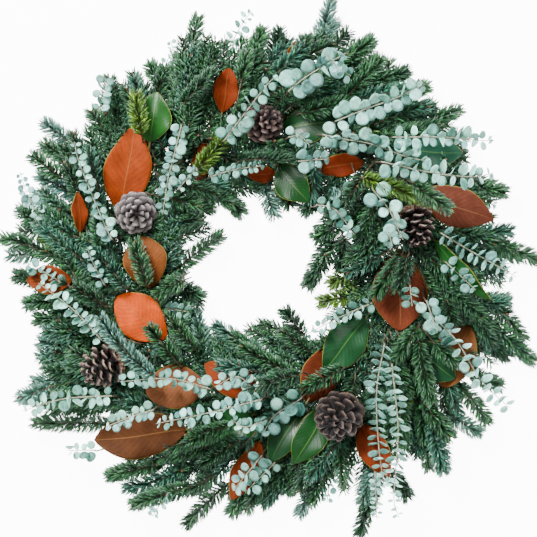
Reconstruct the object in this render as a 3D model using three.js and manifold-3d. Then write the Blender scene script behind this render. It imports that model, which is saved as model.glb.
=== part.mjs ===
// A fresh evergreen wreath, laid on its back: fir boughs clamped to a wire ring, with magnolia leaves,
// eucalyptus stems and pine cones worked in among them. Millimetres, +Z up out of the wreath's face,
// +Y towards its top as it hangs. The origin is the ring's centre, on the surface that it lies on.
import * as THREE from "three";
import Module from "manifold-3d";

const wasm = await Module();
wasm.setup();

// ---------- driving sizes ----------
const OVERALL = 660; // across the furthest tips, a 26 inch wreath
const GRID = 537; // the lists below give places on the face in this many squares, from its upper left
const UNIT = OVERALL / GRID;

const RING = { radius: 190, halfGap: 17, wire: 2.4, segments: 24, clamps: 12, clampHeight: 24 };
const FIR = { root: 1.7, tip: 1.1, spacing: 43, socket: 3, end: 15, needle: 18, lean: 0.85 };
const EUCALYPTUS = { root: 1.6, tip: 1, spacing: 50, socket: 3.5, end: 7, blade: 1.4, forward: 0.3 };
const MAGNOLIA = { blade: 1.2, petiole: 1.8, petioleLength: 9, fold: 0.16 };
const CONE = { around: 7, rows: 5, core: 0.42, scaleThick: 2.4 };
const BOUGH = { fir: 184, eucalyptus: 199, height: 10, thick: 4.6, reach: 0.34 };
const CLEAR = 0.35; // kept all round a piece when it is laid
const STEP = 4;
const LOWEST = 17;
const HIGHEST = 160;

// ---------- places on the face ----------
// Fir sprays: where the needles begin, then the tip. First those at the back, round the outside.
const OUTER_SPRAYS = [
  [62, 262, 3, 238], [62, 240, 22, 208], [64, 290, 17, 275], [78, 300, 28, 303], [92, 322, 37, 319],
  [102, 350, 41, 342], [94, 334, 47, 331], [102, 374, 34, 382], [82, 398, 22, 397], [112, 406, 48, 410],
  [116, 424, 35, 423], [156, 464, 110, 475], [188, 468, 127, 488], [192, 486, 134, 503],
  [228, 484, 187, 524], [256, 478, 231, 512], [292, 474, 263, 504], [306, 466, 288, 491],
  [326, 458, 300, 514], [381, 462, 359, 533], [388, 470, 407, 496], [417, 386, 429, 468],
  [432, 422, 443, 470], [424, 402, 449, 436], [444, 410, 479, 432], [458, 384, 487, 421],
  [470, 374, 499, 386], [478, 334, 507, 356], [490, 322, 532, 360], [484, 296, 523, 338],
  [466, 302, 507, 302], [484, 240, 536, 260], [466, 232, 509, 231], [448, 180, 504, 192],
  [408, 162, 461, 150], [398, 132, 459, 110], [384, 130, 430, 104], [382, 98, 427, 87],
  [372, 86, 406, 71], [358, 82, 377, 60], [338, 68, 371, 41], [322, 62, 331, 1], [328, 56, 347, 33],
  [298, 88, 304, 40], [280, 74, 287, 42], [264, 74, 279, 31], [244, 78, 262, 31], [186, 92, 198, 18],
  [198, 84, 207, 48], [176, 104, 179, 58], [164, 90, 151, 67], [138, 110, 135, 78], [114, 142, 119, 94],
  [106, 116, 110, 80], [106, 136, 92, 112], [96, 168, 91, 129], [80, 150, 45, 123], [76, 166, 45, 144],
  [62, 178, 34, 157], [84, 200, 40, 176],
];
// Sprays that reach into the wreath's hole.
const INNER_SPRAYS = [
  [168, 276, 220, 236], [174, 286, 199, 298], [204, 354, 195, 317], [274, 366, 216, 326],
  [308, 342, 261, 325], [304, 336, 286, 312], [364, 292, 321, 302], [360, 272, 332, 283],
  [338, 240, 308, 284], [346, 238, 341, 268], [346, 222, 317, 238], [326, 194, 305, 211],
  [280, 180, 289, 203], [264, 186, 274, 214], [220, 188, 240, 212], [174, 214, 210, 208],
  [176, 228, 197, 220], [164, 264, 175, 208],
];
// Sprays that lie over the leaves.
const UPPER_SPRAYS = [
  [100, 282, 44, 236], [100, 248, 99, 211], [148, 286, 136, 244], [162, 364, 137, 315],
  [154, 374, 103, 319], [180, 366, 151, 329], [106, 306, 65, 283], [276, 374, 221, 366],
  [292, 374, 243, 347], [344, 368, 306, 387], [300, 374, 251, 388], [240, 440, 203, 463],
  [232, 424, 169, 450], [410, 384, 395, 427], [419, 342, 431, 401], [418, 326, 396, 356],
  [424, 330, 456, 362], [402, 254, 376, 294], [408, 254, 398, 289], [444, 288, 481, 317],
  [362, 178, 424, 201], [412, 184, 445, 208], [368, 146, 418, 129], [300, 114, 342, 103],
  [238, 162, 292, 160], [196, 174, 222, 144], [236, 108, 247, 55], [184, 104, 214, 74],
  [142, 136, 137, 97], [184, 276, 158, 298],
];
// Eucalyptus stems: leaf size, then the way from root to tip.
const EUCALYPTUS_STEMS = [
  [12, 113, 240, 108, 230, 98, 207, 80, 162, 76, 143],
  [11, 66, 240, 52, 225, 40, 215, 28, 195, 20, 172],
  [10, 62, 283, 50, 275, 28, 263],
  [9, 159, 95, 165, 65, 172, 50, 170, 40],
  [11, 100, 112, 103, 92, 107, 79],
  [13, 153, 153, 165, 135, 195, 110, 222, 88, 233, 80],
  [12, 182, 125, 172, 165, 168, 180, 163, 215],
  [11, 222, 62, 230, 45, 243, 22, 252, 10],
  [14, 224, 142, 243, 117, 268, 85, 278, 78],
  [9, 210, 177, 235, 170, 263, 166],
  [18, 288, 93, 305, 79, 333, 62, 345, 55],
  [16, 335, 122, 365, 110, 395, 99, 424, 85],
  [16, 322, 135, 345, 140, 372, 145, 405, 157, 428, 162],
  [12, 298, 162, 318, 160, 327, 160],
  [13, 392, 138, 440, 138, 480, 141, 493, 141],
  [15, 380, 163, 430, 174, 470, 178, 491, 174],
  [12, 316, 205, 335, 210, 354, 235],
  [16, 372, 190, 388, 210, 398, 232, 402, 240],
  [12, 440, 233, 468, 250, 500, 268, 515, 277],
  [14, 433, 318, 455, 340, 480, 380, 508, 407],
  [10, 409, 285, 411, 306],
  [12, 425, 300, 436, 332],
  [16, 384, 343, 376, 390, 378, 445, 383, 482],
  [15, 391, 363, 397, 430, 393, 495, 398, 516],
  [11, 372, 303, 340, 317, 305, 335],
  [15, 302, 398, 275, 415, 262, 435],
  [9, 338, 445, 329, 490, 327, 503],
  [12, 275, 462, 245, 492],
  [11, 103, 340, 75, 310, 40, 283],
  [12, 210, 388, 170, 378, 121, 381],
  [12, 113, 395, 65, 398, 24, 410],
  [11, 262, 398, 215, 410, 157, 422],
  [10, 155, 408, 130, 416, 108, 425],
  [11, 96, 450, 68, 450],
  [10, 170, 490, 152, 516],
];
// Magnolia leaves: node, base, tip, width, how blunt the tip is, roll about the midrib, how far the blade
// arches.
const MAGNOLIA_LEAVES = [
  ["copper_01", 121, 212, 134, 124, 58, 0, 0.05, 9],
  ["green_01", 150, 142, 157, 92, 46, 0.2, -0.15, 6],
  ["copper_02", 222, 112, 229, 68, 32, 0.6, 0.15, 4],
  ["copper_03", 199, 180, 206, 141, 26, 0.2, -0.2, 4],
  ["copper_04", 80, 232, 77, 192, 22, 0.2, 0.5, 4],
  ["copper_05", 150, 288, 142, 236, 54, 0.8, 0.05, 9],
  ["copper_06", 72, 280, 27, 281, 36, 0.6, 0.1, 5],
  ["copper_07", 166, 338, 116, 297, 56, 0.9, -0.05, 9],
  ["copper_08", 206, 386, 145, 391, 56, 0.8, 0.1, 7],
  ["copper_09", 256, 392, 204, 364, 44, 0.1, 0.1, 6],
  ["copper_10", 186, 430, 94, 440, 58, 0.5, 0.05, 9],
  ["copper_11", 260, 442, 231, 500, 34, 0.3, -0.2, 5],
  ["copper_12", 398, 252, 400, 331, 68, 0.6, 0, 7],
  ["copper_13", 470, 326, 443, 388, 54, 0.6, 0.15, 7],
  ["copper_14", 334, 344, 306, 402, 48, 0.6, -0.15, 6],
  ["copper_15", 362, 424, 388, 476, 38, 0.1, 0.15, 5],
  ["copper_16", 318, 168, 364, 162, 30, 0.5, 0.2, 4],
  ["copper_17", 248, 174, 276, 172, 22, 0.3, 0.3, 3],
  ["copper_18", 421, 192, 494, 220, 50, 0.1, 0.05, 7],
  ["green_02", 252, 416, 219, 437, 50, 0.3, 0.1, 6],
  ["green_03", 366, 318, 324, 371, 50, 0.4, -0.1, 5],
  ["green_04", 306, 404, 270, 462, 40, 0.2, 0.1, 6],
  ["green_05", 326, 408, 294, 463, 42, 0.2, 0, 5],
  ["green_06", 412, 344, 455, 379, 44, 0.4, 0.1, 5],
  ["green_07", 434, 240, 491, 300, 26, 0, 0.6, 5],
  ["green_08", 282, 128, 335, 122, 46, 0.3, -0.05, 6],
  ["green_09", 278, 166, 309, 202, 42, 0, 0.1, 5],
  ["green_10", 400, 148, 463, 153, 42, 0.2, 0.15, 5],
];
// Pine cones: centre, radius, length, and the way the tip points.
const PINE_CONES = [
  [136, 213, 27, 44, [0.05, -0.1, 1]],
  [264, 123, 25, 50, [0.3, 0.25, 0.9]],
  [415, 226, 25, 54, [0.15, -0.9, 0.4]],
  [103, 366, 27, 54, [-0.85, -0.35, 0.35]],
  [337, 416, 31, 60, [-0.4, -0.35, 0.85]],
];

// ---------- surfaces ----------
const UP = new THREE.Vector3(0, 0, 1);
const point = (x, y, z = 0) => new THREE.Vector3(x, y, z);
const onFace = (x, y, z = 0) => point((x - GRID / 2) * UNIT, (GRID / 2 - y) * UNIT, z);
const between = (a, b, share) => a.clone().lerp(b, share);
const middle = (points) => points.reduce((sum, p) => sum.add(p), point(0, 0)).divideScalar(points.length);

// A closed surface through rings of as many points each. Needles, leaves and scales are raised from
// single triangles of it, so that they are one body with it.
class Skin {
  constructor(rings) {
    const n = rings[0].length;
    const last = rings.length - 1;
    this.points = rings.flat();
    this.faces = [];
    for (let i = 0; i < last; i++)
      for (let j = 0; j < n; j++) {
        const [a, b] = [i * n + j, i * n + ((j + 1) % n)];
        this.faces.push([a, b, a + n], [a + n, b, b + n]);
      }
    for (let j = 1; j < n - 1; j++) this.faces.push([0, j + 1, j]);
    for (let j = 1; j < n - 1; j++) this.faces.push([last * n, last * n + j, last * n + j + 1]);
  }

  corners(face) {
    return this.faces[face].map((p) => this.points[p]);
  }

  // Raises a triangle through rows of three points, or of one to end in.
  raise(face, rows) {
    let base = this.faces[face];
    this.faces[face] = null;
    for (const row of rows) {
      const first = this.points.length;
      this.points.push(...row);
      for (let k = 0; k < 3; k++) {
        const [a, b] = [base[k], base[(k + 1) % 3]];
        if (row.length === 1) this.faces.push([a, b, first]);
        else this.faces.push([a, b, first + k], [first + k, b, first + ((k + 1) % 3)]);
      }
      base = row.length === 1 ? null : [first, first + 1, first + 2];
    }
    if (base) this.faces.push(base);
  }

  solid() {
    const vertProperties = new Float32Array(this.points.flatMap((p) => [p.x, p.y, p.z]));
    const triVerts = new Uint32Array(this.faces.filter(Boolean).flat());
    return new wasm.Manifold(new wasm.Mesh({ numProp: 3, vertProperties, triVerts }));
  }
}

// Directions across a curve at some lengths along it, turned as little as can be from one to the next.
function framesAlong(curve, lengths) {
  const total = curve.getLength();
  let side;
  return lengths.map((length) => {
    const along = curve.getTangentAt(Math.min(1, length / total));
    side ??= UP.clone().cross(along);
    side.addScaledVector(along, -side.dot(along)).normalize();
    const at = curve.getPointAt(Math.min(1, length / total));
    return { at, along, side: side.clone(), other: along.clone().cross(side) };
  });
}

// Rings of few sides, each turned by half a side from the one before.
function turnedRings(frames, sides, radius) {
  return frames.map(({ at, side, other }, i) =>
    Array.from({ length: sides }, (_, k) => {
      const turn = (Math.PI / sides) * (2 * k + i);
      const out = side.clone().multiplyScalar(Math.cos(turn)).addScaledVector(other, Math.sin(turn));
      return at.clone().addScaledVector(out, radius(i));
    }));
}

// ---------- pieces ----------
// A twig: its bare tail, then its way from root to tip with short bands that needles or leaves rise from.
function twig(kind, tail, way, dress, pad) {
  const curve = new THREE.CatmullRomCurve3([...tail, ...way], false, "centripetal");
  const parts = 8;
  curve.arcLengthDivisions = parts * (curve.points.length - 1);
  const bare = curve.getLengths()[tail.length * parts];
  const whole = curve.getLength();
  const count = Math.max(1, Math.round((whole - bare - kind.end) / kind.spacing));
  const gap = (whole - bare - kind.end) / count;
  const lengths = tail.length ? [0, 0.6 * bare] : [];
  const bands = [];
  for (let i = 0; i <= count; i++) {
    bands.push(lengths.length);
    lengths.push(bare + i * gap, bare + i * gap + kind.socket);
  }
  const frames = framesAlong(curve, lengths);
  const radius = (i) => pad + kind.root + ((kind.tip - kind.root) * lengths[i]) / whole;
  const skin = new Skin(turnedRings(frames, 3, radius));
  skin.raise(skin.faces.length - 1, [[way.at(-1)]]);
  for (const band of bands)
    dress(Array.from({ length: 6 }, (_, k) => 6 * band + k), skin, frames[band], pad);
  return skin.solid();
}

// Fir needles: one from each of the band's triangles.
function needles(faces, skin, { at, along }, pad) {
  for (const face of faces) {
    const root = middle(skin.corners(face));
    const out = root.clone().sub(at);
    out.addScaledVector(along, -out.dot(along)).normalize();
    const lean = out.multiplyScalar(Math.sin(FIR.lean)).addScaledVector(along, Math.cos(FIR.lean));
    skin.raise(face, [[root.addScaledVector(lean, FIR.needle + pad)]]);
  }
}

// A pair of round eucalyptus leaves, from the triangles on the left and the right.
const leafPair = (size) => (faces, skin, { at, along }, pad) => {
  const side = UP.clone().cross(along).normalize();
  const bySide = [...faces].sort((a, b) =>
    middle(skin.corners(a)).sub(at).dot(side) - middle(skin.corners(b)).sub(at).dot(side));
  for (const [face, way] of [[bySide[0], -1], [bySide[5], 1]]) {
    const base = skin.corners(face);
    const root = middle(base);
    const out = side.clone().multiplyScalar(way).addScaledVector(along, EUCALYPTUS.forward).normalize();
    const ahead = along.clone().addScaledVector(out, -along.dot(out)).normalize();
    const under = out.clone().cross(ahead);
    under.multiplyScalar(-Math.sign(under.z));
    const low = [...base].sort((a, b) => a.dot(under) - b.dot(under)).at(-1);
    const front = base.filter((p) => p !== low).sort((a, b) => a.dot(ahead) - b.dot(ahead)).at(-1);
    const row = (far, half) => base.map((p) => {
      const q = root.clone().addScaledVector(out, far * size);
      if (p === low) return q.addScaledVector(under, EUCALYPTUS.blade + pad);
      return q.addScaledVector(ahead, (p === front ? 1 : -1) * (half * size + pad));
    });
    const end = root.clone().addScaledVector(out, size + pad);
    skin.raise(face, [row(0.3, 0.42), row(0.75, 0.4), [end]]);
  }
};

// A magnolia leaf: sections of six points, folded along the midrib and arched from base to tip.
function magnoliaLeaf(base, tip, width, blunt, roll, arch, pad) {
  const length = base.distanceTo(tip);
  const along = tip.clone().sub(base).normalize();
  const across = UP.clone().cross(along).normalize();
  const up = along.clone().cross(across);
  const turned = across.clone().multiplyScalar(Math.cos(roll)).addScaledVector(up, Math.sin(roll));
  const normal = along.clone().cross(turned);
  const stations = [
    [-MAGNOLIA.petioleLength / length, MAGNOLIA.petiole, MAGNOLIA.petiole],
    [0, MAGNOLIA.petiole, MAGNOLIA.petiole], [0.2, 0.38 * width], [0.5, 0.5 * width],
    [0.8, (0.31 + 0.12 * blunt) * width], [1, 1.2 + 0.16 * blunt * width],
  ];
  const rings = stations.map(([share, half, thick = MAGNOLIA.blade / 2]) => {
    const rise = arch * 4 * Math.max(0, share) * (1 - share);
    const at = between(base, tip, share).addScaledVector(normal, rise);
    const h = half + pad;
    const t = thick + pad;
    return [[-h, t], [-h, -t], [0, -t], [h, -t], [h, t], [0, t]].map(([s, n]) =>
      at.clone().addScaledVector(turned, s).addScaledVector(normal, n + MAGNOLIA.fold * Math.abs(s)));
  });
  return new Skin(rings).solid();
}

// A pine cone: a core with a scale from each rising triangle of its bands.
function pineCone(centre, radius, length, tipWay, pad) {
  const axis = point(...tipWay).normalize();
  const side = (Math.abs(axis.z) > 0.8 ? point(0, 1, 0) : UP.clone()).cross(axis).normalize();
  const other = axis.clone().cross(side);
  const spread = (share) => Math.sin(Math.PI * (0.24 + 0.66 * share));
  const shares = Array.from({ length: CONE.rows + 1 }, (_, i) => i / CONE.rows);
  const at = (share) => centre.clone().addScaledVector(axis, (share - 0.5) * (length - 8));
  const frames = shares.map((share) => ({ at: at(share), side, other }));
  const core = (i) => pad + radius * CONE.core * spread(shares[i]);
  const skin = new Skin(turnedRings(frames, CONE.around, core));
  for (let i = 0; i < CONE.rows; i++)
    for (let k = 0; k < CONE.around; k++) {
      const face = 2 * (i * CONE.around + k);
      const [a, b] = skin.corners(face);
      const share = shares[i] + 0.3 / CONE.rows;
      const out = between(a, b, 0.5).sub(at(shares[i])).normalize();
      const aside = b.clone().sub(a).normalize();
      const lift = 2 + share * 9;
      const end = at(share).addScaledVector(out, radius * spread(share)).addScaledVector(axis, lift);
      const half = pad + 0.38 * ((2 * Math.PI * radius) / CONE.around) * spread(share);
      const thick = CONE.scaleThick + pad;
      skin.raise(face, [[
        end.clone().addScaledVector(aside, -half),
        end.clone().addScaledVector(aside, half),
        end.clone().addScaledVector(axis, thick),
      ]]);
    }
  return skin.solid();
}

// A wire of four sides through points, closed on itself or not.
function wire(points, closed) {
  const n = points.length;
  const rings = points.map((p, i) => {
    const before = points[closed ? (i + n - 1) % n : Math.max(0, i - 1)];
    const after = points[closed ? (i + 1) % n : Math.min(n - 1, i + 1)];
    const along = after.clone().sub(before).normalize();
    const level = closed ? UP.clone() : point(-p.y, p.x).normalize();
    const side = along.clone().cross(level).normalize();
    return [[-1, -1], [-1, 1], [1, 1], [1, -1]].map(([s, t]) =>
      p.clone().addScaledVector(side, s * RING.wire).addScaledVector(level, t * RING.wire));
  });
  if (!closed) return new Skin(rings).solid();
  const skin = new Skin([...rings, rings[0]]);
  skin.points.length = 4 * n;
  skin.faces = skin.faces.slice(0, 8 * n).map((face) => face.map((p) => p % (4 * n)));
  return skin.solid();
}

// The ring: two round wires, with a bent wire across them at each clamp that closes over the stems.
function wireRing() {
  const circle = (radius) => Array.from({ length: RING.segments }, (_, i) => {
    const turn = (2 * Math.PI * (i + 0.5)) / RING.segments;
    return point(radius * Math.cos(turn), radius * Math.sin(turn), RING.wire);
  });
  const g = RING.halfGap;
  const h = RING.clampHeight;
  const outline = [[-5, h], [-g - 1, h - 2], [-g, RING.wire], [g, RING.wire], [g + 1, h - 2], [5, h]];
  const wires = [circle(RING.radius - g), circle(RING.radius + g)].map((c) => wire(c, true));
  for (let k = 0; k < RING.clamps; k++) {
    const turn = (2 * Math.PI * (k + 0.5)) / RING.clamps;
    wires.push(wire(outline.map(([r, z]) =>
      point((RING.radius + r) * Math.cos(turn), (RING.radius + r) * Math.sin(turn), z)), false));
  }
  return wasm.Manifold.union(wires);
}

// ---------- laying the pieces ----------
const laid = [];

function isClear(solid, others) {
  const box = solid.boundingBox();
  if (box.min[2] < 1) return false;
  return others.every((other) => {
    if ([0, 1, 2].some((k) => box.min[k] > other.box.max[k] || box.max[k] < other.box.min[k])) return true;
    const shared = solid.intersect(other.solid);
    const apart = shared.isEmpty();
    shared.delete();
    return apart;
  });
}

function clears(make, others) {
  const solid = make(CLEAR);
  const clear = isClear(solid, others);
  solid.delete();
  return clear;
}

function lay(name, colour, solid) {
  laid.push({ name, colour, solid, box: solid.boundingBox() });
}

// Lowers a piece from above until it would touch, and gives the last clear height.
function lowered(make, lowest) {
  let height = HIGHEST;
  while (height - STEP >= lowest && clears((pad) => make(height - STEP, pad), laid)) height -= STEP;
  return height;
}

// ---------- the wreath ----------
const COLOURS = { wire: "#3d4a38", fir: "#2f5a3c", eucalyptus: "#a9c8b8", copper: "#a8603a", green: "#2f6a33",
  cone: "#6b4a38" };

lay("wire_ring", COLOURS.wire, wireRing());

// Each clamp holds the thick stems that the sprays fork from.
const forks = { fir: [], eucalyptus: [] };
for (const kind of ["fir", "eucalyptus"])
  for (let k = 0; k < RING.clamps; k++) {
    const start = (2 * Math.PI * (k + 0.5)) / RING.clamps + 0.05;
    const reach = kind === "fir" ? BOUGH.reach : 0.7 * BOUGH.reach;
    const thick = kind === "fir" ? BOUGH.thick : 0.8 * BOUGH.thick;
    const points = [0, 1, 2, 3].map((i) => {
      const turn = start - (reach * i) / 3;
      return point(BOUGH[kind] * Math.cos(turn), BOUGH[kind] * Math.sin(turn), BOUGH.height + 0.7 * i);
    });
    const curve = new THREE.CatmullRomCurve3(points);
    const name = `${kind}_${String(k + 1).padStart(2, "0")}`;
    const whole = curve.getLength();
    const frames = framesAlong(curve, [0, 1, 2, 3].map((i) => (whole * i) / 3));
    const solid = new Skin(turnedRings(frames, 3, (i) => thick - 0.3 * i)).solid();
    forks[kind].push({ name, curve, start, reach, solid, twigs: 0 });
  }

// The fork that a spray comes from: a little against the way round that the foliage flows.
function forkFor(kind, root) {
  const turn = Math.atan2(root.y, root.x) + 0.2;
  const gap = (fork) => {
    const middleTurn = fork.start - fork.reach / 2;
    return Math.abs(Math.atan2(Math.sin(turn - middleTurn), Math.cos(turn - middleTurn)));
  };
  const fork = forks[kind].reduce((best, f) => (gap(f) < gap(best) ? f : best));
  const past = fork.start - turn;
  const share = Math.atan2(Math.sin(past), Math.cos(past)) / fork.reach;
  return { fork, share: THREE.MathUtils.clamp(share, 0.35, 0.9) };
}

// Ways for a bare tail: where it leaves the fork, how far short of the root it rises, and its bend.
function tails(hubs) {
  return [0, 12, -12, 24, -24, 36, -36].flatMap((bend) =>
    [14, 24, 8].flatMap((shift) => hubs.map((hub) => [hub, shift, bend])));
}

// Lays a twig with the first tail that is clear, higher where none is.
function layTwig(kind, { fork, share }, wayAt, dress, settings, from) {
  const { name } = fork;
  const others = laid.filter((piece) => piece.name !== name);
  const hubs = [0, 0.2, -0.2].map((aside) =>
    fork.curve.getPoint(THREE.MathUtils.clamp(share + aside, 0.15, 0.75) + 0.016 * fork.twigs));
  for (let height = from; height <= HIGHEST; height += STEP) {
    const way = wayAt(height);
    const back = way[0].clone().sub(way[1]).setZ(0).normalize();
    const across = point(-back.y, back.x);
    if (!clears((pad) => twig(settings, [], way, dress, pad), laid)) continue;
    for (const [hub, shift, bend] of tails(hubs)) {
      const rise = way[0].clone().addScaledVector(back, shift).setZ(between(hub, way[0], 0.6).z);
      const half = between(hub, rise, 0.5).addScaledVector(across, bend);
      const tail = [hub, half, rise];
      if (clears((pad) => twig(settings, tail, way, dress, pad), others)) {
        lay(name, COLOURS[kind], twig(settings, tail, way, dress, 0));
        fork.twigs += 1;
        return true;
      }
    }
  }
  return false;
}

for (const kind of ["fir", "eucalyptus"])
  for (const fork of forks[kind]) lay(fork.name, COLOURS[kind], fork.solid);

function laySpray([x0, y0, x1, y1], onTop) {
  const root = onFace(x0, y0);
  const tip = onFace(x1, y1);
  const from = forkFor("fir", root);
  const wayAt = (height) => [root.clone().setZ(height - 3), between(root, tip, 0.5).setZ(height + 1),
    tip.clone().setZ(height)];
  const onlyWay = (height, pad) => twig(FIR, [], wayAt(height), needles, pad);
  return layTwig("fir", from, wayAt, needles, FIR, onTop ? lowered(onlyWay, LOWEST) : LOWEST + 2);
}

function layStem([size, ...places]) {
  const points = [];
  for (let i = 0; i < places.length; i += 2) points.push(onFace(places[i], places[i + 1]));
  const from = forkFor("eucalyptus", points[0]);
  const wayAt = (height) => points.map((p, i) =>
    p.clone().setZ(height + (i === 0 ? -3 : i === points.length - 1 ? 2 : 0)));
  const dress = leafPair(size * UNIT);
  const onlyWay = (height, pad) => twig(EUCALYPTUS, [], wayAt(height), dress, pad);
  return layTwig("eucalyptus", from, wayAt, dress, EUCALYPTUS, lowered(onlyWay, LOWEST));
}

for (const spray of OUTER_SPRAYS) laySpray(spray, false);
for (const spray of INNER_SPRAYS) laySpray(spray, false);
for (const [name, x0, y0, x1, y1, width, blunt, roll, arch] of MAGNOLIA_LEAVES) {
  const make = (height, pad) =>
    magnoliaLeaf(onFace(x0, y0, height - 4), onFace(x1, y1, height + 3), width, blunt, roll, arch, pad);
  const node = `magnolia_${name}`;
  const height = lowered(make, LOWEST);
  lay(node, name.startsWith("copper") ? COLOURS.copper : COLOURS.green, make(height, 0));
}
PINE_CONES.forEach(([x, y, radius, length, tipWay], i) => {
  const make = (height, pad) => pineCone(onFace(x, y, height), radius, length, tipWay, pad);
  const node = `pine_cone_${i + 1}`;
  lay(node, COLOURS.cone, make(lowered(make, LOWEST + 10), 0));
});
for (const spray of UPPER_SPRAYS) laySpray(spray, true);
for (const stem of EUCALYPTUS_STEMS) layStem(stem);

// One body for each name.
const wreath = new THREE.Group();
for (const name of new Set(laid.map((piece) => piece.name))) {
  const pieces = laid.filter((piece) => piece.name === name);
  const joined = wasm.Manifold.union(pieces.map((piece) => piece.solid));
  const body = joined.decompose().reduce((best, part) => (part.volume() > best.volume() ? part : best));
  const { vertProperties, triVerts } = body.getMesh();
  const geometry = new THREE.BufferGeometry();
  geometry.setAttribute("position", new THREE.BufferAttribute(vertProperties, 3));
  geometry.setIndex(new THREE.BufferAttribute(triVerts, 1));
  const roughness = name.startsWith("magnolia_green") ? 0.35 : 0.75;
  const material = new THREE.MeshStandardMaterial({ color: pieces[0].colour, roughness, metalness: 0 });
  const mesh = new THREE.Mesh(geometry, material);
  mesh.name = name;
  wreath.add(mesh);
}

export default wreath;
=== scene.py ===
"""A fresh evergreen wreath of fir, magnolia, eucalyptus and pine cones, on its back on a white surface."""

import math

import bpy
import numpy as np
from bpy.props import FloatProperty, FloatVectorProperty, IntProperty, PointerProperty
from bpy.types import Operator, Panel, PropertyGroup
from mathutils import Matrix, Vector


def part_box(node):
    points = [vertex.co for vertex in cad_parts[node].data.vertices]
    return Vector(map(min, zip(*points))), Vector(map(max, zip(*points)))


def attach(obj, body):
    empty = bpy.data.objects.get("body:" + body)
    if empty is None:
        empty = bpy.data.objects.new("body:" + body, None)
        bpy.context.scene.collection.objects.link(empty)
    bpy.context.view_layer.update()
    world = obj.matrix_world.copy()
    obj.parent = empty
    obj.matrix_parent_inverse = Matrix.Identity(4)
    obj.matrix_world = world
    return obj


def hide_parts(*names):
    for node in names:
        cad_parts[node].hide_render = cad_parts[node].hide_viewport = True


bl_info = {
    "name": "Evergreen Wreath",
    "version": (1, 0, 0),
    "blender": (4, 5, 0),
    "location": "View3D > Sidebar > Wreath",
    "description": "Builds a fresh evergreen wreath piece by piece",
    "category": "Add Mesh",
}

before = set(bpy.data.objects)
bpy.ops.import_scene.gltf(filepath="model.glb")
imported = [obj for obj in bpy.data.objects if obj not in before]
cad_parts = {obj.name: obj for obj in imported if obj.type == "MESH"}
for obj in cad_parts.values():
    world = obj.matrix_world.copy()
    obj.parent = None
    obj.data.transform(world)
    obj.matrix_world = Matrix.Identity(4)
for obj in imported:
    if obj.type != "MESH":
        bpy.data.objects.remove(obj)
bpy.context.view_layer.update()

# Places on the face are on a square grid from its upper left corner, as in the part's source.
OVERALL = 0.660
GRID = 537
UNIT = OVERALL / GRID
RING_RADIUS = 0.190
RING_HALF_GAP = 0.017
CLAMPS = 12
CLAMP_HEIGHT = 0.024
# Each clamp holds a thick stem of fir and one of eucalyptus: a low arc that starts a little past the clamp,
# runs clockwise for its reach in radians and rises on the way. Twigs fork from it.
FORK_RADIUS = {"fir": 0.184, "eucalyptus": 0.199}
FORK_REACH = {"fir": 0.34, "eucalyptus": 0.238}
FORK_HEIGHT = 0.010
FORK_RISE = 0.0021
FORK_STARTS = 2 * np.pi * (np.arange(CLAMPS) + 0.5) / CLAMPS + 0.05
FORK_STEPS = 12
# How far round from its root a twig looks for its thick stem, in radians.
FORK_AHEAD = 0.2
# Needles on a spray, as shares of what the spacing gives.
NAMED_NEEDLES = 1.5
SMALL_NEEDLES = 1.3
STANDING_NEEDLES = 1.0
FILLER_NEEDLES = 0.74
# How far a standing shoot rises from its root to its tip.
SHOOT_RISE = 0.032
# Room that needles keep from the white surface, leaves from it, and twigs from a leaf or a cone over them.
NEEDLE_FLOOR = 0.0003
LEAF_FLOOR = 0.0004
COVER_ROOM = 0.008
# The plan of heights under which twigs keep: half its width in metres, its cells along a side, cells a metre.
PLAN_HALF = 0.36
PLAN_CELLS = 720
PLAN_SCALE = 1000
# Steps along a eucalyptus stem and along a twig, and the radius of their bare parts.
STEM_STEPS = 33
TWIG_STEPS = 9
TAIL_RADIUS = 0.0010
# A round leaf's thickness, the turn from one scale of a cone to the next, and the knobs on a cone's base.
LEAF_THICKNESS = 0.0007
GOLDEN_ANGLE = 2.39996
KNOBS = 110
# The height in the wreath at which the camera's frame is as wide as the wreath.
FACE_HEIGHT = 0.035

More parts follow.
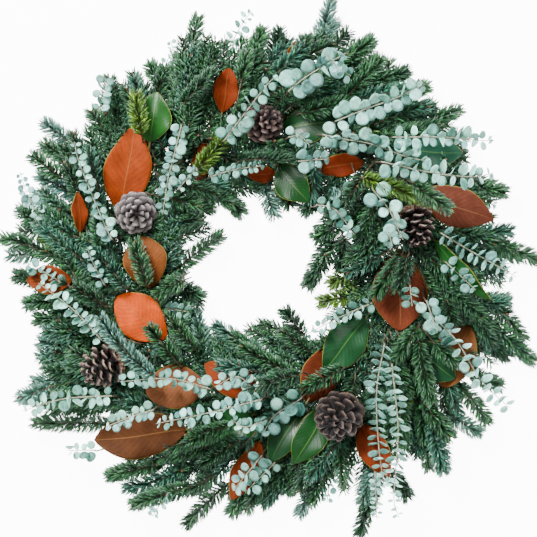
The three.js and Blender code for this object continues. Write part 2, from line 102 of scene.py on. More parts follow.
# Fir sprays: where the needles begin, the tip, and the tone: dark, green, blue, silver or yellow.
OUTER_SPRAYS = [
    (62, 262, 3, 238, "g"), (62, 240, 22, 208, "g"), (64, 290, 17, 275, "d"), (78, 300, 28, 303, "g"),
    (92, 322, 37, 319, "g"), (102, 350, 41, 342, "s"), (94, 334, 47, 331, "b"), (102, 374, 34, 382, "s"),
    (82, 398, 22, 397, "g"), (112, 406, 48, 410, "g"), (116, 424, 35, 423, "g"), (156, 464, 110, 475, "g"),
    (188, 468, 127, 488, "b"), (192, 486, 134, 503, "g"), (228, 484, 187, 524, "g"),
    (256, 478, 231, 512, "g"), (292, 474, 263, 504, "b"), (306, 466, 288, 491, "g"),
    (326, 458, 300, 514, "s"), (381, 462, 359, 533, "d"), (388, 470, 407, 496, "d"),
    (417, 386, 429, 468, "g"), (432, 422, 443, 470, "b"), (424, 402, 449, 436, "g"),
    (444, 410, 479, 432, "b"), (458, 384, 487, 421, "g"), (470, 374, 499, 386, "g"),
    (478, 334, 507, 356, "d"), (490, 322, 532, 360, "g"), (484, 296, 523, 338, "g"),
    (466, 302, 507, 302, "b"), (484, 240, 536, 260, "g"), (466, 232, 509, 231, "b"),
    (448, 180, 504, 192, "g"), (408, 162, 461, 150, "d"), (398, 132, 459, 110, "g"),
    (384, 130, 430, 104, "g"), (382, 98, 427, 87, "g"), (372, 86, 406, 71, "d"), (358, 82, 377, 60, "g"),
    (338, 68, 371, 41, "g"), (322, 62, 331, 1, "s"), (328, 56, 347, 33, "d"), (298, 88, 304, 40, "d"),
    (280, 74, 287, 42, "s"), (264, 74, 279, 31, "d"), (244, 78, 262, 31, "g"), (186, 92, 198, 18, "g"),
    (198, 84, 207, 48, "d"), (176, 104, 179, 58, "g"), (164, 90, 151, 67, "g"), (138, 110, 135, 78, "g"),
    (114, 142, 119, 94, "g"), (106, 116, 110, 80, "d"), (106, 136, 92, 112, "g"), (96, 168, 91, 129, "g"),
    (80, 150, 45, 123, "s"), (76, 166, 45, 144, "g"), (62, 178, 34, 157, "g"), (84, 200, 40, 176, "s"),
]
INNER_SPRAYS = [
    (168, 276, 220, 236, "g"), (174, 286, 199, 298, "d"), (204, 354, 195, 317, "s"),
    (274, 366, 216, 326, "b"), (308, 342, 261, 325, "g"), (304, 336, 286, 312, "d"),
    (364, 292, 321, 302, "y"), (360, 272, 332, 283, "y"), (338, 240, 308, 284, "d"),
    (346, 238, 341, 268, "d"), (346, 222, 317, 238, "g"), (326, 194, 305, 211, "d"),
    (280, 180, 289, 203, "d"), (264, 186, 274, 214, "s"), (220, 188, 240, 212, "g"),
    (174, 214, 210, 208, "g"), (176, 228, 197, 220, "d"), (164, 264, 175, 208, "s"),
]
UPPER_SPRAYS = [
    (100, 282, 44, 236, "y"), (100, 248, 99, 211, "g"), (148, 286, 136, 244, "g"),
    (162, 364, 137, 315, "g"), (154, 374, 103, 319, "s"), (180, 366, 151, 329, "g"),
    (106, 306, 65, 283, "d"), (276, 374, 221, 366, "b"), (292, 374, 243, 347, "g"),
    (344, 368, 306, 387, "g"), (300, 374, 251, 388, "d"), (240, 440, 203, 463, "d"),
    (232, 424, 169, 450, "g"), (410, 384, 395, 427, "y"), (419, 342, 431, 401, "g"),
    (418, 326, 396, 356, "g"), (424, 330, 456, 362, "g"), (402, 254, 376, 294, "g"),
    (408, 254, 398, 289, "d"), (444, 288, 481, 317, "g"), (362, 178, 424, 201, "y"),
    (412, 184, 445, 208, "g"), (368, 146, 418, 129, "g"), (300, 114, 342, 103, "g"),
    (238, 162, 292, 160, "d"), (196, 174, 222, 144, "y"), (236, 108, 247, 55, "g"),
    (184, 104, 214, 74, "d"), (142, 136, 137, 97, "y"), (184, 276, 158, 298, "g"),
]
# Side twigs and small sprays that only this finer build has; the last twenty fill places that looked thin.
SMALL_SPRAYS = [
    (78, 158, 43, 146, "g"), (45, 232, 21, 231, "g"), (40, 225, 21, 212, "g"), (45, 252, 10, 255, "b"),
    (40, 275, 17, 277, "g"), (46, 296, 28, 304, "g"), (65, 315, 42, 295, "g"), (69, 257, 70, 229, "y"),
    (80, 350, 44, 360, "s"), (92, 336, 48, 335, "g"), (85, 352, 42, 343, "b"), (80, 322, 38, 320, "g"),
    (125, 302, 112, 290, "s"), (123, 290, 110, 252, "g"), (140, 295, 132, 262, "g"),
    (150, 290, 137, 244, "d"), (176, 372, 152, 330, "g"), (195, 350, 165, 316, "g"),
    (185, 372, 172, 349, "d"), (148, 395, 113, 410, "g"), (163, 84, 151, 66, "g"), (175, 100, 166, 71, "g"),
    (184, 95, 183, 55, "g"), (190, 98, 216, 74, "d"), (200, 122, 223, 106, "g"), (235, 95, 245, 56, "g"),
    (245, 70, 264, 33, "g"), (290, 75, 306, 41, "d"), (327, 50, 333, 22, "s"), (310, 50, 322, 26, "s"),
    (340, 66, 371, 40, "g"), (360, 80, 376, 60, "g"), (380, 85, 389, 62, "g"), (365, 88, 405, 71, "g"),
    (325, 92, 386, 84, "d"), (382, 100, 425, 86, "g"), (392, 125, 428, 106, "g"), (425, 130, 447, 125, "g"),
    (440, 140, 465, 134, "s"), (420, 160, 461, 148, "d"), (383, 138, 416, 129, "b"),
    (379, 137, 398, 116, "g"), (462, 176, 503, 191, "g"), (420, 187, 445, 207, "d"),
    (430, 255, 445, 288, "g"), (446, 289, 478, 316, "g"), (478, 300, 506, 300, "g"),
    (485, 325, 532, 360, "b"), (475, 322, 500, 337, "g"), (484, 343, 506, 355, "d"),
    (447, 300, 454, 327, "d"), (455, 315, 465, 333, "g"), (405, 255, 423, 289, "g"),
    (383, 248, 372, 271, "d"), (380, 238, 355, 258, "g"), (353, 275, 351, 293, "y"),
    (335, 245, 318, 233, "d"), (344, 235, 343, 266, "d"), (222, 190, 240, 211, "g"),
    (212, 185, 263, 188, "d"), (267, 180, 277, 203, "d"), (281, 186, 290, 203, "d"),
    (192, 199, 224, 194, "g"), (178, 212, 210, 206, "g"), (178, 230, 197, 219, "g"),
    (182, 286, 199, 296, "g"), (185, 280, 158, 292, "g"), (213, 362, 204, 337, "g"),
    (262, 372, 222, 364, "g"), (298, 376, 256, 380, "g"), (335, 374, 308, 385, "g"),
    (365, 378, 337, 380, "g"), (374, 322, 362, 372, "d"), (418, 328, 397, 357, "g"),
    (438, 432, 443, 469, "b"), (430, 412, 449, 434, "g"), (478, 380, 498, 384, "g"),
    (393, 478, 406, 495, "d"), (302, 462, 289, 490, "g"), (290, 470, 265, 503, "b"),
    (255, 490, 246, 510, "g"), (252, 485, 232, 513, "g"), (215, 475, 188, 490, "d"),
    (237, 440, 203, 461, "g"), (215, 427, 171, 446, "g"), (205, 447, 163, 457, "g"),
    (150, 462, 112, 474, "g"), (185, 478, 136, 503, "g"), (48, 388, 23, 397, "s"),
    (245, 160, 291, 163, "d"), (316, 197, 306, 208, "d"), (340, 205, 322, 228, "d"),
    (360, 208, 374, 217, "g"), (168, 276, 158, 300, "g"), (195, 175, 223, 146, "y"),
    (352, 228, 338, 214, "d"), (330, 240, 309, 285, "d"), (450, 230, 470, 222, "g"),
    (270, 440, 252, 470, "g"), (200, 300, 190, 320, "d"), (285, 352, 250, 330, "g"),
    (262, 362, 235, 338, "g"), (300, 356, 268, 340, "b"), (250, 368, 222, 345, "g"),
    (240, 362, 228, 338, "b"), (310, 352, 284, 332, "g"), (80, 368, 45, 365, "g"), (84, 384, 42, 388, "g"),
    (70, 352, 40, 356, "b"), (90, 392, 50, 398, "d"), (378, 470, 366, 512, "g"), (372, 468, 362, 500, "s"),
    (420, 400, 424, 440, "g"), (415, 410, 418, 455, "d"), (425, 395, 433, 440, "d"),
    (410, 400, 405, 440, "g"), (60, 222, 32, 198, "s"), (58, 236, 28, 222, "b"), (64, 215, 42, 190, "s"),
    (488, 250, 518, 256, "g"),
]
# Shoots that stand up towards the viewer: place, height in mm and tone.
STANDING = [
    (275, 142, 62, "g"), (199, 136, 50, "g"), (266, 70, 55, "g"), (353, 134, 58, "g"), (370, 131, 58, "y"),
    (357, 187, 52, "g"), (211, 139, 48, "y"), (325, 255, 40, "g"), (388, 400, 70, "g"), (250, 478, 45, "g"),
    (182, 470, 45, "g"), (150, 350, 60, "b"), (70, 330, 40, "b"), (60, 210, 35, "g"), (155, 165, 35, "g"),
    (470, 355, 45, "g"), (455, 260, 42, "d"), (445, 160, 50, "g"), (295, 95, 45, "g"), (230, 445, 50, "g"),
]
# Eucalyptus stems: leaf size, how far the leaves are turned towards the tip, and the way from root to
# tip. The first ones are in the frame as well.
EUCALYPTUS_STEMS = [
    (9, 0.5, (113, 240, 108, 230, 98, 207, 80, 162, 76, 143)),
    (8, 0.3, (66, 240, 52, 225, 40, 215, 28, 195, 20, 172)), (8, 0.5, (62, 283, 50, 275, 28, 263)),
    (7, 0.8, (159, 95, 165, 65, 172, 50, 170, 40)), (9, 0.4, (100, 112, 103, 92, 107, 79)),
    (10, 0.5, (153, 153, 165, 135, 195, 110, 222, 88, 233, 80)),
    (9, 0.6, (182, 125, 172, 165, 168, 180, 163, 215)), (8, 1.2, (222, 62, 230, 45, 243, 22, 252, 10)),
    (11, 0.4, (224, 142, 243, 117, 268, 85, 278, 78)), (7, 0.8, (210, 177, 235, 170, 263, 166)),
    (15, 0.2, (288, 93, 305, 79, 333, 62, 345, 55)), (13, 0.4, (335, 122, 365, 110, 395, 99, 424, 85)),
    (12, 0.3, (322, 135, 345, 140, 372, 145, 405, 157, 428, 162)),
    (10, 0.6, (298, 162, 318, 160, 327, 160)), (11, 1.0, (392, 138, 440, 138, 480, 141, 493, 141)),
    (12, 0.9, (380, 163, 430, 174, 470, 178, 491, 174)), (9, 0.6, (316, 205, 335, 210, 354, 235)),
    (13, 0.3, (372, 190, 388, 210, 398, 232, 402, 240)),
    (10, 2.6, (440, 233, 468, 250, 500, 268, 515, 277)),
    (12, 1.2, (433, 318, 455, 340, 480, 380, 508, 407)), (8, 1.5, (409, 285, 411, 306)),
    (11, 0.4, (425, 300, 436, 332)), (10, 1.9, (384, 343, 376, 390, 378, 445, 383, 482)),
    (10, 2.2, (391, 363, 397, 430, 393, 495, 398, 516)), (9, 1.0, (372, 303, 340, 317, 305, 335)),
    (12, 0.4, (302, 398, 275, 415, 262, 435)), (7, 1.0, (338, 445, 329, 490, 327, 503)),
    (9, 0.6, (275, 462, 245, 492)), (9, 1.2, (103, 340, 75, 310, 40, 283)),
    (10, 0.5, (210, 388, 170, 378, 121, 381)), (10, 0.7, (113, 395, 65, 398, 24, 410)),
    (9, 1.0, (262, 398, 215, 410, 157, 422)), (8, 0.6, (155, 408, 130, 416, 108, 425)),
    (9, 0.8, (96, 450, 68, 450)), (8, 1.0, (170, 490, 152, 516)),
]
SMALL_STEMS = [
    (9, 0.5, (325, 55, 338, 70, 350, 78)), (7, 0.6, (105, 285, 93, 262, 88, 247)),
    (6, 0.8, (178, 190, 197, 168)), (8, 0.5, (288, 138, 300, 137, 309, 146)),
    (11, 0.3, (340, 185, 350, 210)), (9, 0.8, (445, 262, 475, 290)),
    (8, 0.6, (278, 390, 265, 400, 240, 402)), (6, 1.5, (374, 470, 376, 517)),
    (10, 0.4, (256, 392, 238, 376, 215, 386)), (8, 0.7, (262, 420, 245, 425, 232, 418)),
    (10, 0.5, (262, 455, 233, 490)), (8, 0.8, (165, 308, 189, 312)), (6, 1.5, (478, 198, 496, 206)),
    (9, 0.2, (388, 232, 391, 246)),
]
# Magnolia leaves: node, base, tip, width in mm, bluntness, roll, arch in mm, and the shown side's colour.
MAGNOLIA_LEAVES = [
    ("copper_01", 121, 212, 134, 124, 58, 0, 0.05, 9, (0.300, 0.046, 0.006)),
    ("green_01", 150, 142, 157, 92, 46, 0.2, -0.15, 6, (0.010, 0.077, 0.010)),
    ("copper_02", 222, 112, 229, 68, 32, 0.6, 0.15, 4, (0.222, 0.032, 0.005)),
    ("copper_03", 199, 180, 206, 141, 26, 0.2, -0.2, 4, (0.200, 0.029, 0.005)),
    ("copper_04", 80, 232, 77, 192, 22, 0.2, 0.5, 4, (0.207, 0.032, 0.005)),
    ("copper_05", 150, 288, 142, 236, 54, 0.8, 0.05, 9, (0.190, 0.058, 0.014)),
    ("copper_06", 72, 280, 27, 281, 36, 0.6, 0.1, 5, (0.178, 0.029, 0.005)),
    ("copper_07", 166, 338, 116, 297, 56, 0.9, -0.05, 9, (0.630, 0.084, 0.009)),
    ("copper_08", 206, 386, 145, 391, 56, 0.8, 0.1, 7, (0.260, 0.092, 0.040)),
    ("copper_09", 256, 392, 204, 364, 44, 0.1, 0.1, 6, (0.222, 0.034, 0.006)),
    ("copper_10", 186, 430, 94, 440, 58, 0.5, 0.05, 9, (0.092, 0.032, 0.011)),
    ("copper_11", 260, 442, 231, 500, 34, 0.3, -0.2, 5, (0.193, 0.032, 0.006)),
    ("copper_12", 398, 252, 400, 331, 68, 0.6, 0, 7, (0.170, 0.038, 0.016)),
    ("copper_13", 470, 326, 443, 388, 54, 0.6, 0.15, 7, (0.170, 0.058, 0.018)),
    ("copper_14", 334, 344, 306, 402, 48, 0.6, -0.15, 6, (0.150, 0.030, 0.010)),
    ("copper_15", 362, 424, 388, 476, 38, 0.1, 0.15, 5, (0.200, 0.029, 0.005)),
    ("copper_16", 318, 168, 364, 162, 30, 0.5, 0.2, 4, (0.185, 0.025, 0.004)),
    ("copper_17", 248, 174, 276, 172, 22, 0.3, 0.3, 3, (0.178, 0.025, 0.004)),
    ("copper_18", 421, 192, 494, 220, 50, 0.1, 0.05, 7, (0.150, 0.042, 0.024)),
    ("green_02", 252, 416, 219, 437, 50, 0.3, 0.1, 6, (0.006, 0.050, 0.010)),
    ("green_03", 366, 318, 324, 371, 50, 0.4, -0.1, 5, (0.007, 0.056, 0.017)),
    ("green_04", 306, 404, 270, 462, 40, 0.2, 0.1, 6, (0.006, 0.047, 0.014)),
    ("green_05", 326, 408, 294, 463, 42, 0.2, 0, 5, (0.006, 0.050, 0.010)),
    ("green_06", 412, 344, 455, 379, 44, 0.4, 0.1, 5, (0.006, 0.047, 0.017)),
    ("green_07", 434, 240, 491, 300, 26, 0, 0.6, 5, (0.009, 0.068, 0.012)),
    ("green_08", 282, 128, 335, 122, 46, 0.3, -0.05, 6, (0.006, 0.045, 0.012)),
    ("green_09", 278, 166, 309, 202, 42, 0, 0.1, 5, (0.006, 0.050, 0.010)),
    ("green_10", 400, 148, 463, 153, 42, 0.2, 0.15, 5, (0.013, 0.063, 0.038)),
]
# Leaves of which a sliver shows between the sprays, with their height in mm; only in this finer build.
LOW_LEAVES = [
    ("copper_19", 284, 72, 298, 38, 16, 0.2, 0.3, 3, (0.200, 0.040, 0.008), 24),
    ("green_11", 292, 460, 276, 478, 14, 0.2, 0.1, 2, (0.009, 0.062, 0.012), 22),
    ("green_12", 262, 95, 241, 90, 15, 0.2, 0.1, 2, (0.009, 0.062, 0.012), 24),
    ("green_13", 88, 355, 50, 388, 24, 0.2, 0.2, 4, (0.007, 0.050, 0.014), 22),
    ("green_14", 165, 460, 143, 475, 16, 0.2, 0.1, 2, (0.007, 0.050, 0.014), 22),
    ("green_15", 375, 395, 362, 425, 18, 0.2, 0.1, 3, (0.007, 0.050, 0.014), 26),
]
# Pine cones: centre, radius and length in mm, the way the tip points, and the colours of the scales'
# rims, faces and insides. The near-black insides are a painted shade deep between the scales.
PINE_CONES = [
    (136, 213, 27, 44, (0.05, -0.1, 1),
     (0.55, 0.50, 0.50), (0.19, 0.165, 0.17), (0.012, 0.008, 0.007)),
    (264, 123, 25, 50, (0.3, 0.25, 0.9),
     (0.30, 0.21, 0.19), (0.075, 0.045, 0.042), (0.008, 0.004, 0.004)),
    (415, 226, 25, 54, (0.15, -0.9, 0.4),
     (0.36, 0.28, 0.25), (0.045, 0.020, 0.020), (0.008, 0.004, 0.004)),
    (103, 366, 27, 54, (-0.85, -0.35, 0.35),
     (0.46, 0.32, 0.25), (0.034, 0.018, 0.018), (0.008, 0.005, 0.005)),
    (337, 416, 31, 60, (-0.4, -0.35, 0.85),
     (0.16, 0.11, 0.09), (0.012, 0.007, 0.006), (0.005, 0.003, 0.003)),
]
# Needle tones, linear: base colour and how pale the undersides are.
TONES = {
    "d": ((0.014, 0.058, 0.021), 0.15),
    "g": ((0.024, 0.101, 0.028), 0.29),
    "b": ((0.027, 0.121, 0.074), 0.42),
    "s": ((0.085, 0.210, 0.165), 0.62),
    "y": ((0.090, 0.185, 0.013), 0.15),
}


# ---------------------------------------------------------------- points and surfaces
def on_face(x, y, z=0.0):
    """A place on the wreath's face in metres."""
    return np.array([(x - GRID / 2) * UNIT, (GRID / 2 - y) * UNIT, z])


def unit(v):
    """Vectors divided by their lengths."""
    return v / np.maximum(np.linalg.norm(v, axis=-1, keepdims=True), 1e-12)


def node_points(prefix):
    """All the vertices of the frame's nodes whose names begin so."""
    found = []
    for name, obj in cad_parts.items():
        if name.startswith(prefix):
            co = np.empty(3 * len(obj.data.vertices))
            obj.data.vertices.foreach_get("co", co)
            found.append(co.reshape(-1, 3))
    return np.concatenate(found)


def height_at(points, place):
    """The height of the point that is nearest in plan."""
    return points[np.argmin(((points[:, :2] - place[:2]) ** 2).sum(axis=1)), 2]


def top_near(points, place, reach=0.012):
    """The greatest height of the points within reach in plan."""
    near = ((points[:, :2] - place[:2]) ** 2).sum(axis=1) < reach**2
    return points[near, 2].max() if near.any() else 0.02


def spline(points, count):
    """A smooth curve through points: cubic pieces whose slope at a point is half the step across it."""
    p = np.asarray(points, float)
    p = np.concatenate([[2 * p[0] - p[1]], p, [2 * p[-1] - p[-2]]])
    t = np.linspace(0, len(p) - 3, count)
    i = np.minimum(t.astype(int), len(p) - 4)
    f = (t - i)[:, None]
    a, b, c, d = p[i], p[i + 1], p[i + 2], p[i + 3]
    return b + 0.5 * f * ((c - a) + f * ((2 * a - 5 * b + 4 * c - d) + f * (3 * (b - c) + d - a)))


def surface(name, points, quads=(), tris=(), tint=None, flow=None, materials=(), second=None, smooth=True):
    """A mesh object from arrays. tint is a colour and flow a pair of numbers at each point; second marks
    the faces that take the second material."""
    mesh = bpy.data.meshes.new(name)
    parts = [np.asarray(a, dtype=np.int32) for a in (quads, tris) if len(a)]
    corners = np.concatenate([a.ravel() for a in parts])
    sizes = np.concatenate([np.full(len(a), a.shape[1], dtype=np.int32) for a in parts])
    mesh.vertices.add(len(points))
    mesh.vertices.foreach_set("co", np.ascontiguousarray(points, dtype=np.float32).ravel())
    mesh.loops.add(len(corners))
    mesh.loops.foreach_set("vertex_index", corners)
    mesh.polygons.add(len(sizes))
    mesh.polygons.foreach_set("loop_start", np.concatenate([[0], np.cumsum(sizes)[:-1]]).astype(np.int32))
    mesh.polygons.foreach_set("use_smooth", np.full(len(sizes), smooth))
    if second is not None:
        mesh.polygons.foreach_set("material_index", np.asarray(second, dtype=np.int32))
    mesh.update(calc_edges=True)
    if flow is not None:
        layer = mesh.uv_layers.new(name="flow")
        layer.data.foreach_set("uv", np.asarray(flow, dtype=np.float32)[corners].ravel())
    if tint is not None:
        colours = np.concatenate([tint, np.ones((len(tint), 1))], axis=1).astype(np.float32)
        attribute = mesh.attributes.new("tint", "FLOAT_COLOR", "POINT")
        attribute.data.foreach_set("color", colours.ravel())
    for material in materials:
        mesh.materials.append(material)
    obj = bpy.data.objects.new(name, mesh)
    bpy.context.scene.collection.objects.link(obj)
    return obj


def ring_faces(rings, sides, closed=False):
    """Quads that join rings of points in order, each quad between two neighbours of two rings."""
    i = np.arange(rings if closed else rings - 1)[:, None]
    j = np.arange(sides)[None, :]
    a, b = i * sides + j, i * sides + (j + 1) % sides
    up = ((i + 1) % rings) * sides
    return np.stack([a, b, up + (j + 1) % sides, up + j], axis=-1).reshape(-1, 4)


def many(faces, count, step):
    """The same faces again for each copy of a shape of step points."""
    faces = np.asarray(faces)
    return (faces[None] + step * np.arange(count)[:, None, None]).reshape(-1, faces.shape[1])


def tubes(paths, radii, sides=6):
    """Round tubes: for each path a ring of points at each place, square to the path, and one point at each
    end."""
    paths = np.asarray(paths, float)
    radii = np.broadcast_to(radii, paths.shape[:2])
    n, k = paths.shape[:2]
    along = unit(np.gradient(paths, axis=1))
    across = unit(np.cross(np.array([0.05, 0.03, 1.0]), along))
    other = np.cross(along, across)
    turn = 2 * np.pi * np.arange(sides) / sides
    out = across[:, :, None] * np.cos(turn)[:, None] + other[:, :, None] * np.sin(turn)[:, None]
    body = (paths[:, :, None] + radii[:, :, None, None] * out).reshape(n, k * sides, 3)
    points = np.concatenate([body, paths[:, :1], paths[:, -1:]], axis=1)
    j = np.arange(sides)
    start = np.stack([np.full(sides, k * sides), (j + 1) % sides, j], axis=1)
    last = (k - 1) * sides
    end = np.stack([np.full(sides, k * sides + 1), last + j, last + (j + 1) % sides], axis=1)
    step = k * sides + 2
    return (points.reshape(-1, 3), many(ring_faces(k, sides), n, step),
            many(np.concatenate([start, end]), n, step))


# ---------------------------------------------------------------- materials
def new_material(name, roughness, **values):
    """A material with its node tree and its shader at hand."""
    material = bpy.data.materials.new(name)
    material.use_nodes = True
    tree = material.node_tree
    shader = tree.nodes["Principled BSDF"]
    shader.inputs["Roughness"].default_value = roughness
    for key, value in values.items():
        shader.inputs[key.replace("_", " ").title().replace("Ior", "IOR")].default_value = value
    return material, tree, shader


def noise(tree, scale, detail=3.0):
    """A noise texture on the object's own coordinates."""
    where = tree.nodes.new("ShaderNodeTexCoord")
    texture = tree.nodes.new("ShaderNodeTexNoise")
    texture.inputs["Scale"].default_value = scale
    texture.inputs["Detail"].default_value = detail
    tree.links.new(where.outputs["Object"], texture.inputs["Vector"])
    return texture


def math_node(tree, operation, a, b=None):
    """One step of arithmetic on two outputs or numbers."""
    node = tree.nodes.new("ShaderNodeMath")
    node.operation = operation
    for socket, value in zip(node.inputs, (a, b)):
        if value is None:
            continue
        if isinstance(value, (int, float)):
            socket.default_value = value
        else:
            tree.links.new(value, socket)
    return node.outputs[0]


def ramp(tree, value, stops):
    """A colour ramp from places and colours."""
    node = tree.nodes.new("ShaderNodeValToRGB")
    elements = node.color_ramp.elements
    while len(elements) < len(stops):
        elements.new(0.5)
    for element, (place, colour) in zip(elements, stops):
        element.position = place
        element.color = (*colour, 1.0)
    tree.links.new(value, node.inputs["Fac"])
    return node.outputs["Color"]


def mixed(tree, kind, share, a, b):
    """Two colours mixed; share, a and b are outputs or values."""
    node = tree.nodes.new("ShaderNodeMix")
    node.data_type = "RGBA"
    node.blend_type = kind
    for socket, value in ((node.inputs[0], share), (node.inputs[6], a), (node.inputs[7], b)):
        if isinstance(value, (int, float)):
            socket.default_value = value
        elif isinstance(value, tuple):
            socket.default_value = (*value, 1.0)
        else:
            tree.links.new(value, socket)
    return node.outputs[2]


def bumped(tree, shader, height, strength, distance):
    """Small relief on the shader's normal."""
    node = tree.nodes.new("ShaderNodeBump")
    node.inputs["Strength"].default_value = strength
    node.inputs["Distance"].default_value = distance
    tree.links.new(height, node.inputs["Height"])
    tree.links.new(node.outputs["Normal"], shader.inputs["Normal"])


def tinted(tree):
    """The colour kept at the mesh's points."""
    node = tree.nodes.new("ShaderNodeAttribute")
    node.attribute_name = "tint"
    return node.outputs["Color"]


def needle_material():
    """Fir needles: the tint of each needle, a little mottled, with a waxy gloss."""
    material, tree, shader = new_material("fir_needles", 0.42, specular_ior_level=0.4)
    mottle = noise(tree, 260.0)
    shade = ramp(tree, mottle.outputs["Fac"], [(0.3, (0.75, 0.78, 0.75)), (0.7, (1.2, 1.18, 1.15))])
    tree.links.new(mixed(tree, "MULTIPLY", 1.0, tinted(tree), shade), shader.inputs["Base Color"])
    return material


def bark_material(name, dark, light):
    """Bark: two browns in fine streaks with shallow relief."""
    material, tree, shader = new_material(name, 0.75)
    grain = noise(tree, 420.0, 5.0)
    colour = ramp(tree, grain.outputs["Fac"], [(0.35, dark), (0.65, light)])
    tree.links.new(colour, shader.inputs["Base Color"])
    bumped(tree, shader, grain.outputs["Fac"], 0.5, 0.0006)
    return material


def leaf_flow(tree):
    """How far a place on a leaf is from the midrib and how far along it is, from the flow at its points."""
    where = tree.nodes.new("ShaderNodeUVMap")
    where.uv_map = "flow"
    parts = tree.nodes.new("ShaderNodeSeparateXYZ")
    tree.links.new(where.outputs["UV"], parts.inputs[0])
    return math_node(tree, "ABSOLUTE", parts.outputs["X"]), parts.outputs["Y"]


def vein_value(tree):
    """The distance from the midrib, and side veins: lines that run forwards from the midrib to the rim."""
    aside, along = leaf_flow(tree)
    slant = math_node(tree, "MULTIPLY", aside, 0.28)
    place = math_node(tree, "SUBTRACT", along, slant)
    wave = math_node(tree, "SINE", math_node(tree, "MULTIPLY", place, 82.0))
    return aside, math_node(tree, "POWER", math_node(tree, "MAXIMUM", wave, 0.0), 8.0)


def banded(tree, test, aside, edge, share, body, colour):
    """The body's colour with another in a band, where the distance from the midrib passes the test."""
    band = math_node(tree, test, aside, edge)
    return mixed(tree, "MIX", math_node(tree, "MULTIPLY", band, share), body, colour)


def copper_material():
    """The felted underside of a magnolia leaf: copper brown, veined, soft and matt."""
    material, tree, shader = new_material(
        "magnolia_copper_felt", 0.7, specular_ior_level=0.12)
    aside, line = vein_value(tree)
    felt = noise(tree, 900.0, 6.0)
    cloud = noise(tree, 55.0, 4.0)
    mottle = ramp(tree, cloud.outputs["Fac"], [(0.3, (0.72, 0.68, 0.62)), (0.68, (1.18, 1.16, 1.12))])
    speckle = ramp(tree, felt.outputs["Fac"], [(0.3, (0.82, 0.8, 0.78)), (0.7, (1.15, 1.14, 1.12))])
    body = mixed(tree, "MULTIPLY", 1.0, tinted(tree), mottle)
    body = mixed(tree, "MULTIPLY", 1.0, body, speckle)
    veined = mixed(tree, "MULTIPLY", math_node(tree, "MULTIPLY", line, 0.5), body,
                   (0.62, 0.55, 0.45))
    ribbed = banded(tree, "LESS_THAN", aside, 0.026, 0.5, veined, (0.30, 0.13, 0.04))
    rimmed = banded(tree, "GREATER_THAN", aside, 0.972, 0.8, ribbed, (0.34, 0.24, 0.04))
    tree.links.new(rimmed, shader.inputs["Base Color"])
    relief = math_node(tree, "ADD", math_node(tree, "MULTIPLY", line, 0.6),
                       math_node(tree, "MULTIPLY", felt.outputs["Fac"], 0.5))
    bumped(tree, shader, relief, 0.45, 0.0006)
    return material


def glossy_material():
    """The upper side of a magnolia leaf: dark green, glossy, with pale midrib, veins and rim."""
    material, tree, shader = new_material(
        "magnolia_green_gloss", 0.3, specular_ior_level=0.3)
    aside, line = vein_value(tree)
    cloud = noise(tree, 70.0, 4.0)
    mottle = ramp(tree, cloud.outputs["Fac"], [(0.3, (0.7, 0.75, 0.7)), (0.7, (1.35, 1.3, 1.25))])
    body = mixed(tree, "MULTIPLY", 1.0, tinted(tree), mottle)
    veined = mixed(tree, "MIX", math_node(tree, "MULTIPLY", line, 0.07), body,
                   (0.10, 0.22, 0.05))
    ribbed = banded(tree, "LESS_THAN", aside, 0.028, 0.55, veined, (0.12, 0.22, 0.04))
    rimmed = banded(tree, "GREATER_THAN", aside, 0.968, 0.8, ribbed, (0.34, 0.36, 0.06))
    tree.links.new(rimmed, shader.inputs["Base Color"])
    bumped(tree, shader, line, 0.2, 0.0005)
    return material


def wax_material():
    """Eucalyptus leaves: pale blue-green under a dusty wax bloom, with a faint midrib."""
    material, tree, shader = new_material(
        "eucalyptus_wax", 0.62, sheen_weight=0.15, sheen_roughness=0.4, specular_ior_level=0.35)
    aside, _ = leaf_flow(tree)
    bloom = noise(tree, 190.0, 6.0)
    dusted = ramp(tree, bloom.outputs["Fac"],
                  [(0.30, (0.62, 0.70, 0.68)), (0.70, (1.35, 1.25, 1.27))])
    body = mixed(tree, "MULTIPLY", 1.0, tinted(tree), dusted)
    ribbed = banded(tree, "LESS_THAN", aside, 0.022, 0.35, body, (0.50, 0.66, 0.50))
    tree.links.new(ribbed, shader.inputs["Base Color"])
    bumped(tree, shader, bloom.outputs["Fac"], 0.15, 0.0004)
    return material


def scale_material():
    """Pine cone scales: the tint of rim and inside with woody streaks and relief."""
    material, tree, shader = new_material("cone_scales", 0.68, specular_ior_level=0.3)
    grain = noise(tree, 480.0, 6.0)
    shade = ramp(tree, grain.outputs["Fac"], [(0.3, (0.65, 0.62, 0.6)), (0.7, (1.3, 1.28, 1.25))])
    tree.links.new(mixed(tree, "MULTIPLY", 1.0, tinted(tree), shade), shader.inputs["Base Color"])
    bumped(tree, shader, grain.outputs["Fac"], 0.5, 0.0008)
    return material


def wire_material():
    """Green lacquered wire with worn and slightly rusted places."""
    material, tree, shader = new_material("lacquered_wire", 0.45, metallic=0.3)
    wear = noise(tree, 240.0, 5.0)
    colour = ramp(tree, wear.outputs["Fac"], [
        (0.35, (0.035, 0.060, 0.035)), (0.62, (0.050, 0.085, 0.050)), (0.72, (0.16, 0.08, 0.045))])
    tree.links.new(colour, shader.inputs["Base Color"])
    bumped(tree, shader, wear.outputs["Fac"], 0.2, 0.0004)
    return material


# ---------------------------------------------------------------- settings
class WireSettings(PropertyGroup):
    wire: FloatProperty(name="Wire radius", description="Radius of the ring's wire", default=0.0024,
                        unit="LENGTH")
    segments: IntProperty(name="Segments", description="Steps round the ring", default=144, min=24)


